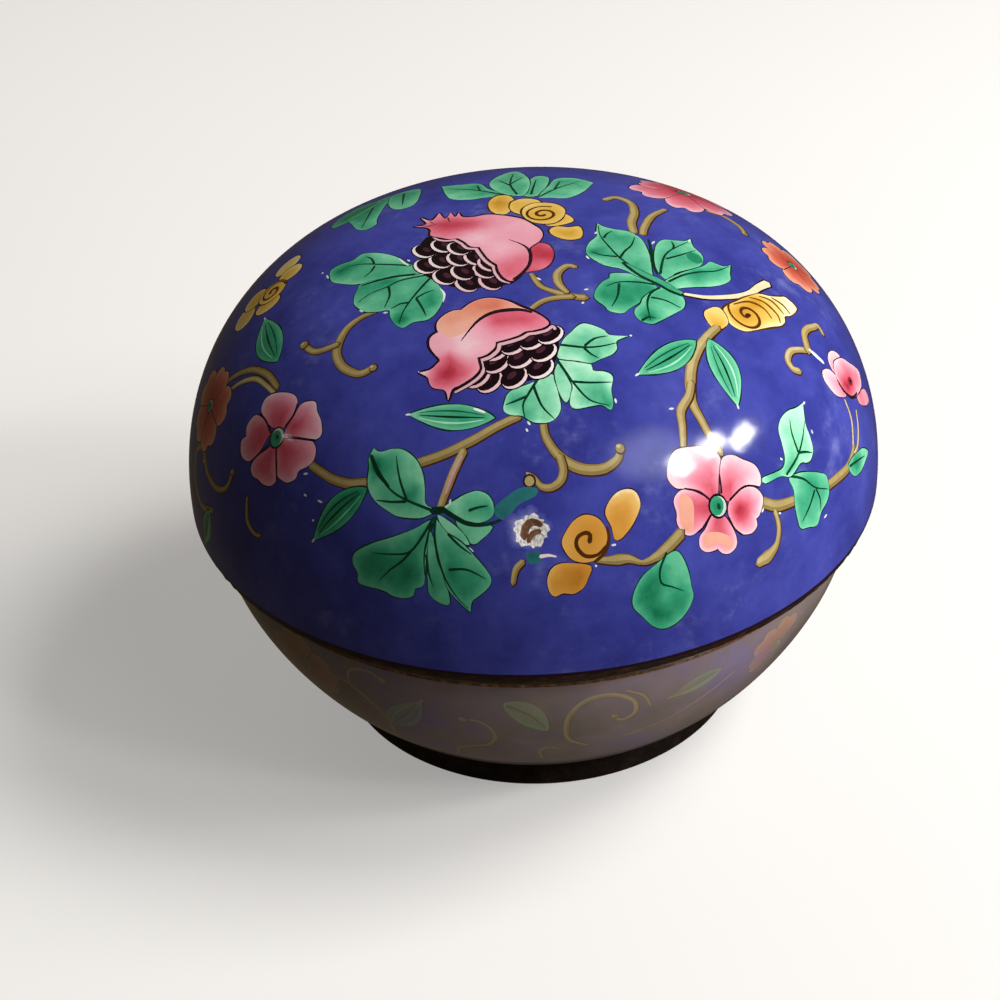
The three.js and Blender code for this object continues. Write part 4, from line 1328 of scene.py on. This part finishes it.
class Finish:
    """A material being made"""

    def __init__(self, name, **constants):
        self.material = bpy.data.materials.new(name)
        self.material.use_nodes = True
        self.tree = self.material.node_tree
        self.shader = self.tree.nodes["Principled BSDF"]
        for socket, value in constants.items():
            self.shader.inputs[socket.replace("_", " ")].default_value = value
        self.object = self.node("ShaderNodeTexCoord").outputs["Object"]

    def node(self, kind, settings=None, values=None):
        node = self.tree.nodes.new(kind)
        for name, setting in (settings or {}).items():
            setattr(node, name, setting)
        for socket, value in (values or {}).items():
            self.feed(node.inputs[socket], value)
        return node

    def feed(self, socket, value):
        source = value.socket if isinstance(value, Value) else value
        if isinstance(source, bpy.types.NodeSocket):
            self.tree.links.new(source, socket)
        else:
            socket.default_value = source

    def set(self, **values):
        for name, value in values.items():
            self.feed(self.shader.inputs[name.replace("_", " ")], value)

    def noise(self, size_mm, detail=3.0, roughness=0.5, seed=0.0):
        """Noise from 0 to 1 with features of about this size"""
        values = {"Vector": self.object, "W": seed, "Scale": 1000 / size_mm, "Detail": detail,
                  "Roughness": roughness}
        node = self.node("ShaderNodeTexNoise", {"noise_dimensions": "4D"}, values)
        return Value(self, node.outputs["Fac"])

    def dots(self, spacing_mm, radius_mm, share, seed=0.0):
        """Soft round dots on a share of the cells of this spacing"""
        values = {"Vector": self.object, "W": seed, "Scale": 1000 / spacing_mm}
        cells = self.node("ShaderNodeTexVoronoi", {"voronoi_dimensions": "4D"}, values)
        near = 1 - Value(self, cells.outputs["Distance"]).between(radius_mm / spacing_mm * 0.6,
            radius_mm / spacing_mm)
        pick = self.node("ShaderNodeSeparateColor", values={"Color": cells.outputs["Color"]})
        return near * Value(self, pick.outputs["Red"]).math("LESS_THAN", share)

    def attribute(self, name):
        return Value(self, self.node("ShaderNodeAttribute", {"attribute_name": name}).outputs["Fac"])

    def ramp(self, value, stops):
        """Colours by position, given as {position: web colour}"""
        node = self.node("ShaderNodeValToRGB", values={"Fac": value})
        elements = node.color_ramp.elements
        for _ in range(len(stops) - 2):
            elements.new(0.5)
        for element, (position, text) in zip(elements, sorted(stops.items())):
            element.position = position
            element.color = colour(text)
        return node.outputs["Color"]

    def mix(self, share, first, second):
        values = {"Factor": share, 6: first, 7: second}
        return self.node("ShaderNodeMix", {"data_type": "RGBA"}, values).outputs[2]

    def below(self, level_mm, blur_mm=0.3):
        """1 below a level, 0 above it"""
        parts = self.node("ShaderNodeSeparateXYZ", values={0: self.object})
        height = Value(self, parts.outputs["Z"])
        return 1 - height.between((level_mm - blur_mm) * MM, (level_mm + blur_mm) * MM)

    def glaze_with_painted_reflection(self, base):
        """Glazed paint, dulled on the bowl by a brown film with a lavender bloom in places: a painted
        reflection that stands for the surroundings mirrored dimly in the bowl's glaze
        """
        painted_reflection = self.ramp(self.noise(14, 3, 0.6, seed=11), {0.35: "8c7e64", 0.5: "9a8878", 0.65: "948496"})
        # painted reflection over everything below the bowl's mouth, unevenly strong
        share = self.below(bowl_top + 0.3) * (self.noise(6, 4, seed=12) * 0.4 + 0.6)
        self.set(Base_Color=self.mix(share, base, painted_reflection))
        glaze(self)

    def bump(self, height, depth_mm):
        values = {"Height": height, "Strength": 1.0, "Distance": depth_mm * MM}
        self.set(Normal=self.node("ShaderNodeBump", values=values).outputs["Normal"])


# ---------------------------------------------------------------- finishes


def glaze(finish, roughness=0.1):
    """Fired enamel: glossy, faintly uneven, with the odd duller patch"""
    finish.set(Roughness=finish.noise(7, 3) * 0.1 + (roughness - 0.03))
    finish.bump(finish.noise(5.5, 2, seed=3) + finish.noise(1.1, 2, seed=5) * 0.12, 0.05)


def ground_blue():
    finish = Finish("ultramarine_ground")
    cloud = finish.noise(16, 5, 0.6) * 0.7 + finish.noise(3.2, 4, 0.6, seed=2) * 0.3
    base = finish.ramp(cloud, {0.28: "2a2c7a", 0.45: "373c94", 0.6: "464caa", 0.78: "646abc"})
    # pale lavender wisps: cloudiness in the enamel, and in part a painted sheen standing for hazy reflections
    wisp_and_sheen = finish.noise(9, 5, 0.7, seed=7).between(0.52, 0.72) * finish.noise(2.4, 3, seed=8).between(0.35,
        0.7)
    base = finish.mix(wisp_and_sheen * 0.42, base, colour("9096d0"))
    base = finish.mix(finish.dots(3.4, 0.2, 0.4) * 0.7, base, colour("1c1c40"))
    base = finish.mix(finish.dots(6.5, 0.18, 0.2, seed=4) * 0.5, base, colour("b4b8e0"))
    finish.glaze_with_painted_reflection(base)
    return finish.material


def paint(name, stops, blotch=0.2, size_mm=3.0):
    """A pigment whose colour runs with the tone laid down, and blotches a little as a wet brush does"""
    finish = Finish(name)
    wet = finish.noise(size_mm, 4, 0.6, seed=len(name)) + finish.noise(size_mm * 0.3, 2, seed=3) * 0.5 - 0.75
    tone = finish.attribute("tone") + wet * blotch
    base = finish.ramp(tone, stops)
    base = finish.mix(finish.dots(2.6, 0.12, 0.12, seed=len(name)) * 0.4, base, colour("2a2020"))
    finish.glaze_with_painted_reflection(base)
    return finish.material


def flake_edge():
    """Crumbled enamel round the loss: chalky white grains with dark gaps"""
    finish = Finish("crumbled_enamel")
    grain = finish.noise(0.5, 4, 0.7)
    base = finish.ramp(grain + finish.attribute("tone") * 0.15,
                       {0.38: "5a4a40", 0.5: "b8b2ac", 0.62: "f4f2ee"})
    finish.set(Base_Color=base, Roughness=0.55)
    finish.bump(grain, 0.25)
    return finish.material


def bare_copper(name, dark, middle, glint_paths, roughness, wear_mm=4.0, metal=0.75):
    finish = Finish(name, Metallic=metal)
    age = finish.noise(wear_mm, 5, 0.65) * 0.65 + finish.noise(0.8, 3, 0.6, seed=2) * 0.35
    finish.set(Base_Color=finish.ramp(age, {0.3: dark, 0.5: middle, 0.68: glint_paths}))
    finish.set(Roughness=finish.noise(2.0, 4, seed=9) * 0.35 + roughness)
    finish.bump(finish.noise(0.6, 3) * 0.4 + finish.noise(3.5, 2, seed=6), 0.06)
    return finish.material


def lining():
    """Plain counter-enamel, a pale turquoise with fine pits"""
    finish = Finish("counter_enamel")
    base = finish.ramp(finish.noise(12, 4, 0.6), {0.3: "8fc0bd", 0.5: "a9d2cd", 0.7: "c2e0da"})
    base = finish.mix(finish.dots(4.0, 0.2, 0.35) * 0.7, base, colour("3c4a46"))
    finish.set(Base_Color=base)
    glaze(finish, 0.16)
    return finish.material


PAINTS = {
    "ground": ground_blue(),
    "rim": bare_copper("rim_copper_edge", "1e1412", "3c2822", "6a4c40", 0.35, 3.0, 0.5),
    "umber": paint("umber_line", {0.0: "3a1c0c", 0.5: "5c3410", 1.0: "8a5420"}, 0.3),
    "haze": paint("scuffed_ground", {0.0: "3b419b", 0.5: "6468b4", 1.0: "a8acd8"}, 0.5, 1.2),
    "ink": paint("ink_line", {0.0: "120c14", 0.5: "281420", 1.0: "4a2834"}, 0.3),
    "rose": paint("rose_petal", {0.0: "8c1e30", 0.2: "c44054", 0.42: "dc667a", 0.65: "ec90a4",
                                 0.85: "f4b2c2", 1.0: "f8d4da"}),
    "coral": paint("coral_petal", {0.0: "8a2420", 0.2: "b8402f", 0.5: "d86e5a", 0.75: "e6987c",
                                   1.0: "f2b4a0"}),
    "leaf": paint("leaf_green", {0.0: "06301f", 0.12: "0c4c34", 0.3: "187a54", 0.5: "38a078", 0.7: "66c298",
                                 0.85: "8cdcb2", 1.0: "b8f2d2"}, 0.26),
    "stem": paint("ochre_stem", {0.0: "4a3a1e", 0.3: "7c6838", 0.5: "98844e", 0.75: "bda874",
                                 1.0: "efe6bf"}, 0.3),
    "yellow": paint("yellow_petal", {0.0: "a06818", 0.3: "d09a34", 0.6: "e8bc58", 0.85: "f4d888",
                                     1.0: "fdf0c0"}),
    "orange": paint("orange_petal", {0.0: "9a5a14", 0.35: "c88830", 0.65: "dca048", 0.9: "ecc070",
                                     1.0: "fae3b0"}, 0.16),
    "wine": paint("dark_wine", {0.0: "140810", 0.5: "26101a", 1.0: "4e2836"}, 0.3),
    "shell": paint("shell_pink", {0.0: "c98a92", 0.5: "e8bcc4", 1.0: "fbecec"}),
    "white": paint("white_touch", {0.0: "9ab0a4", 0.5: "dfe6e0", 1.0: "ffffff"}),
    "smudge": paint("green_smudge", {0.0: "123c46", 0.5: "1c5a62", 1.0: "2c7476"}, 0.6),
    "chip_edge": flake_edge(),
    "chip_copper": bare_copper("flake_copper", "3a2418", "7c5238", "b58a68", 0.5, 1.0, 0.3),
}


# ---------------------------------------------------------------- meshes


def boundary_ring(bm, radius):
    """Edges round the open edge of a mesh that lies nearest this radius"""
    edges = [e for e in bm.edges if len(e.link_faces) == 1]
    return [e for e in edges if abs(e.verts[0].co.xy.length - radius * MM) < 0.05 * MM]


def carry_on(bm, edges, corners):
    """Extrudes an open ring through (radius, height) circles"""
    for radius, height in corners:
        made = bmesh.ops.extrude_edge_only(bm, edges=edges)["geom"]
        edges = [g for g in made if isinstance(g, bmesh.types.BMEdge)]
        for vert in (g for g in made if isinstance(g, bmesh.types.BMVert)):
            flat = vert.co.xy.normalized() * radius * MM
            vert.co = (flat.x, flat.y, height * MM)
    return edges


def close_pole(bm, edges, height):
    """Draws an open ring together into one point on the axis"""
    made = bmesh.ops.extrude_edge_only(bm, edges=edges)["geom"]
    verts = [g for g in made if isinstance(g, bmesh.types.BMVert)]
    bmesh.ops.pointmerge(bm, verts=verts, merge_co=(0, 0, height * MM))


def painted_wall(name, art, finish_shell, hollows=()):
    """The painted outside of a wall from its chart, closed by the plain inside"""
    flat, faces, top = art.mesh()
    distance = np.hypot(*flat.T)
    angle = np.arctan2(flat[:, 1], flat[:, 0])
    radius, height = art.profile.radius(distance), art.profile.height(distance)
    out, up = art.profile.normal(distance)
    normal = np.column_stack((out * np.cos(angle), out * np.sin(angle), up))
    sunk = np.zeros(len(flat))
    for middle, size, depth in hollows:
        away = np.hypot(*(flat - middle).T) / size
        rough = 0.7 + 0.3 * np.sin(flat[:, 0] * 5) * np.sin(flat[:, 1] * 6)
        sunk += depth * (1 - away.clip(0, 1) ** 4) * rough
    place = np.column_stack((radius * np.cos(angle), radius * np.sin(angle), height)) - normal * sunk[:, None]

    mesh = bpy.data.meshes.new(name)
    mesh.from_pydata((place * MM).tolist(), [], faces.tolist())
    bm = bmesh.new()
    bm.from_mesh(mesh)
    finish_shell(bm)
    bmesh.ops.recalc_face_normals(bm, faces=bm.faces)
    bm.to_mesh(mesh)
    bm.free()

    pigment = np.full(len(mesh.polygons), len(PIGMENTS))
    pigment[:len(top)] = [art.areas[t][1] if t >= 0 else 0 for t in top]
    mesh.polygons.foreach_set("material_index", pigment)
    mesh.polygons.foreach_set("use_smooth", np.ones(len(mesh.polygons), bool))
    mesh.set_sharp_from_angle(angle=math.radians(30))
    for paint_name in PIGMENTS:
        mesh.materials.append(PAINTS[paint_name])
    mesh.materials.append(counter_enamel)

    corner = np.empty(len(mesh.loops), int)
    mesh.loops.foreach_get("vertex_index", corner)
    start = np.empty(len(mesh.polygons), int)
    mesh.polygons.foreach_get("loop_start", start)
    painted = 3 * len(top)
    assert (start[:len(top)] == np.arange(len(top)) * 3).all()
    tone = np.full(len(corner), 0.5)
    area_of_corner = np.repeat(top, 3)
    order = np.argsort(area_of_corner, kind="stable")
    limits = np.searchsorted(area_of_corner[order], np.arange(len(art.areas) + 1))
    for number, (_, _, run, spot) in enumerate(art.areas):
        own = order[limits[number]:limits[number + 1]]
        if len(own):
            tone[own] = run(spot.back(flat[corner[own]])) if callable(run) else run
    mesh.attributes.new("tone", "FLOAT", "CORNER").data.foreach_set("value", tone.clip(0, 1))

    pointed = np.zeros((len(corner), 3))
    pointed[:painted] = normal[corner[:painted]]
    pointed[:painted][sunk[corner[:painted]] > 0] = 0
    mesh.normals_split_custom_set(pointed.tolist())

    unfold(mesh, corner, painted, flat, art.profile.end)
    piece = bpy.data.objects.new(name, mesh)
    bpy.context.collection.objects.link(piece)
    return piece


def unfold(mesh, corner, painted, flat, reach):
    """UV map: the chart over the whole square, and the plain inside small in its corner"""
    spread = 0.49 / reach
    uv = np.zeros((len(corner), 2))
    uv[:painted] = 0.5 + flat[corner[:painted]] * spread
    place = np.empty(len(mesh.vertices) * 3)
    mesh.vertices.foreach_get("co", place)
    place = place.reshape(-1, 3)[corner[painted:]] / MM
    uv[painted:] = 0.93 + place[:, :2] / 50 * 0.055
    mesh.uv_layers.new(name="OFBake").data.foreach_set("uv", uv.ravel())


def lid_inside(bm):
    """The flat flange and the lining, up to the crown"""
    ring = boundary_ring(bm, mouth_radius)
    stops = np.linspace(lid_lining.end, 2.0, 40)
    corners = [(flange_radius, lid_bottom), (flange_radius, lid_bottom + wall),
               (mouth_radius, lid_bottom + wall)]
    corners += [(lid_lining.radius(s), lid_lining.height(s)) for s in stops[1:]]
    close_pole(bm, carry_on(bm, ring, corners), lid_top - wall)


def bowl_inside(bm):
    """The rim's flat top, the inside wall and floor, and the underside"""
    floor = bowl_bottom + wall
    stops = np.linspace(bowl_profile.end, bowl_profile.start, 24)
    out, up = bowl_profile.normal(stops)
    inner = np.column_stack((bowl_profile.radius(stops) - out * wall, bowl_profile.height(stops) - up * wall))
    corners = [(bowl_radius - wall, bowl_top)]
    corners += [(r, z) for r, z in inner[1:] if floor < z < bowl_top]
    corners += [(r, floor) for r in (underside_radius - wall / 2, 20, 8)]
    close_pole(bm, carry_on(bm, boundary_ring(bm, bowl_radius), corners), floor)
    underside = [(r, bowl_bottom) for r in (22, 8)]
    close_pole(bm, carry_on(bm, boundary_ring(bm, underside_radius), underside), bowl_bottom)


def ring_piece(name, corners, material, rounding):
    """A ring spun from its section, with its sharp edges rounded"""
    bm = bmesh.new()
    verts = [bm.verts.new((radius * MM, 0, height * MM)) for radius, height in corners]
    edges = [bm.edges.new((a, b)) for a, b in zip(verts, verts[1:] + verts[:1])]
    bmesh.ops.spin(bm, geom=verts + edges, axis=(0, 0, 1), cent=(0, 0, 0), steps=ROUND, angle=TURN,
                   use_merge=True)
    bmesh.ops.remove_doubles(bm, verts=bm.verts, dist=1e-7)
    bmesh.ops.recalc_face_normals(bm, faces=bm.faces)
    sharp = [e for e in bm.edges if e.calc_face_angle(0) > math.radians(25)]
    bmesh.ops.bevel(bm, geom=sharp, offset=rounding * MM, segments=3, profile=0.5, affect="EDGES",
                    material=-1)
    for face in bm.faces:
        face.smooth = True
    mesh = bpy.data.meshes.new(name)
    bm.to_mesh(mesh)
    bm.free()
    mesh.set_sharp_from_angle(angle=math.radians(40))
    mesh.materials.append(material)
    piece = bpy.data.objects.new(name, mesh)
    bpy.context.collection.objects.link(piece)
    return piece


counter_enamel = lining()


def stands_for(piece, node):
    """Puts a finished piece in place of its plain solid"""
    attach(piece, "root")
    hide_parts(node)


flake = (FLAKE, 2.2, 0.3)
stands_for(painted_wall("painted_lid", lid_art(), lid_inside, (flake,)), "lid")
stands_for(painted_wall("painted_bowl", bowl_art(), bowl_inside), "bowl")

band = ring_piece("lid_band", (
    (flange_radius, band_bottom), (band_radius, band_bottom), (band_radius, band_top),
    (flange_radius, band_top),
), bare_copper("rim_copper", "3c281e", "6e4f3c", "a07c62", 0.3), 0.25)
stands_for(band, "lid_rim")

# near-black copper: painted shade in the gap between lid and bowl
seat = ring_piece("seat_ring", (
    (upstand_radius - upstand_thickness, bowl_top), (ledge_radius, bowl_top), (ledge_radius, band_bottom),
    (upstand_radius, band_bottom), (upstand_radius, upstand_top),
    (upstand_radius - upstand_thickness, upstand_top),
), bare_copper("seat_copper", "1c1210", "33221a", "54392a", 0.4), 0.15)
stands_for(seat, "bowl_rim")

# near-black copper: a dark patina, and painted shade under the box
foot = ring_piece("foot", (
    (foot_inner_radius, foot_bottom), (foot_radius, foot_bottom), (foot_radius - 0.4, foot_top),
    (foot_inner_radius, foot_top),
), bare_copper("foot_copper", "181312", "2a211d", "46362c", 0.45), 0.4)
stands_for(foot, "foot_ring")


# ---------------------------------------------------------------- floor, light and camera


def studio():
    """A pale floor under a pale dome, which glow a little and throw no light back at the box"""
    bm = bmesh.new()
    bmesh.ops.create_uvsphere(bm, u_segments=96, v_segments=48, radius=STUDIO_RADIUS)
    for vert in bm.verts:
        vert.co.z = max(vert.co.z, 0)
    for face in bm.faces:
        face.smooth = face.calc_center_median().z > 0.1
    mesh = bpy.data.meshes.new("floor")
    bm.to_mesh(mesh)
    bm.free()
    finish = Finish("pale_floor", Roughness=0.8, Emission_Strength=0.5)
    tint = finish.ramp(finish.noise(600, 2), {0.3: "cfcecc", 0.7: "d8d6d4"})
    finish.set(Base_Color=tint, Emission_Color=tint)
    mesh.materials.append(finish.material)
    stand = bpy.data.objects.new("floor", mesh)
    stand.visible_diffuse = False
    stand.visible_glossy = False
    stand.visible_shadow = False
    bpy.context.collection.objects.link(stand)


def lamp(name, direction, size, power, tint, distance=1.0, shines=True):
    """A soft panel of light, in metres. One that doesn't shine isn't mirrored in the glaze."""
    data = bpy.data.lights.new(name, "AREA")
    data.shape = "RECTANGLE"
    data.size, data.size_y = size
    data.energy = power
    data.color = tint
    glint_paths = bpy.data.objects.new(name, data)
    glint_paths.location = Vector(BOX_MIDDLE) + Vector(direction).normalized() * distance
    glint_paths.rotation_euler = Vector(direction).to_track_quat("Z", "Y").to_euler()
    glint_paths.visible_glossy = shines
    glint_paths.visible_camera = False
    bpy.context.collection.objects.link(glint_paths)


def camera():
    """Looks down on the front from about three lid diameters, tipped a little to the right"""
    elevation, roll = math.radians(34.58), math.radians(3.05)
    aim, distance, rise = Vector((-5.08, 0, 15)), 285.4, 11.46
    back = Vector((0, -math.cos(elevation), math.sin(elevation)))
    up = Vector((0, math.sin(elevation), math.cos(elevation)))
    data = bpy.data.cameras.new("camera")
    data.lens, data.sensor_width = 66.7, 36.0
    data.clip_start, data.clip_end = 0.01, 20
    view = bpy.data.objects.new("camera", data)
    view.location = (aim + back * distance + up * rise) * MM
    view.rotation_euler = back.to_track_quat("Z", "Y").to_euler()
    view.rotation_euler.rotate_axis("Z", -roll)
    bpy.context.collection.objects.link(view)
    bpy.context.scene.camera = view


def room(haze_direction, haze_strength):
    """A dim warm room with one hazy bright patch of sky, mirrored in the glaze"""
    world = bpy.data.worlds.new("room")
    world.use_nodes = True
    tree = world.node_tree
    direction = tree.nodes.new("ShaderNodeTexCoord")
    toward = tree.nodes.new("ShaderNodeVectorMath")
    toward.operation = "DOT_PRODUCT"
    toward.inputs[1].default_value = Vector(haze_direction).normalized()
    tree.links.new(direction.outputs["Generated"], toward.inputs[0])
    soft = tree.nodes.new("ShaderNodeMapRange")
    soft.interpolation_type = "SMOOTHSTEP"
    tree.links.new(toward.outputs["Value"], soft.inputs[0])
    soft.inputs[1].default_value = math.cos(math.radians(15))
    soft.inputs[2].default_value = math.cos(math.radians(3))
    warm, pale = (0.05, 0.04, 0.025, 1), (0.9 * haze_strength, 0.92 * haze_strength, haze_strength, 1)
    mixed = tree.nodes.new("ShaderNodeMix")
    mixed.data_type = "RGBA"
    mixed.inputs[6].default_value, mixed.inputs[7].default_value = warm, pale
    tree.links.new(soft.outputs[0], mixed.inputs["Factor"])
    tree.links.new(mixed.outputs[2], tree.nodes["Background"].inputs["Color"])
    bpy.context.scene.world = world


studio()
lamp("window_left", (0.868, -0.168, 0.467), (0.17, 0.1), 2.1, WARM)
lamp("window_middle", (0.78, -0.30, 0.57), (0.14, 0.11), 1.7, WARM)
lamp("window_right", (0.67, -0.48, 0.58), (0.1, 0.15), 1.4, WARM)
lamp("key", (0.64, 0.0, 0.77), (0.4, 0.4), 7.5, WARM, shines=False)
lamp("floor_bounce", (0.85, -0.35, -0.3), (0.8, 0.8), 5.5, (1, 0.97, 0.94), shines=False)
lamp("left_fill", (-0.24, -0.87, 0.42), (0.8, 0.8), 0.3, (1, 0.95, 0.9), shines=False)
lamp("spark", (-0.93, 0.10, 0.36), (0.012, 0.012), 0.02, WARM)
lamp("far_side_fill", (-0.3, 0.8, 0.5), (1.2, 1.2), 1.6, (1, 0.97, 0.93), 1.5, shines=False)
room((0.54, -0.45, 0.71), 3.0)
bpy.context.scene.view_settings.view_transform = "Standard"
camera()
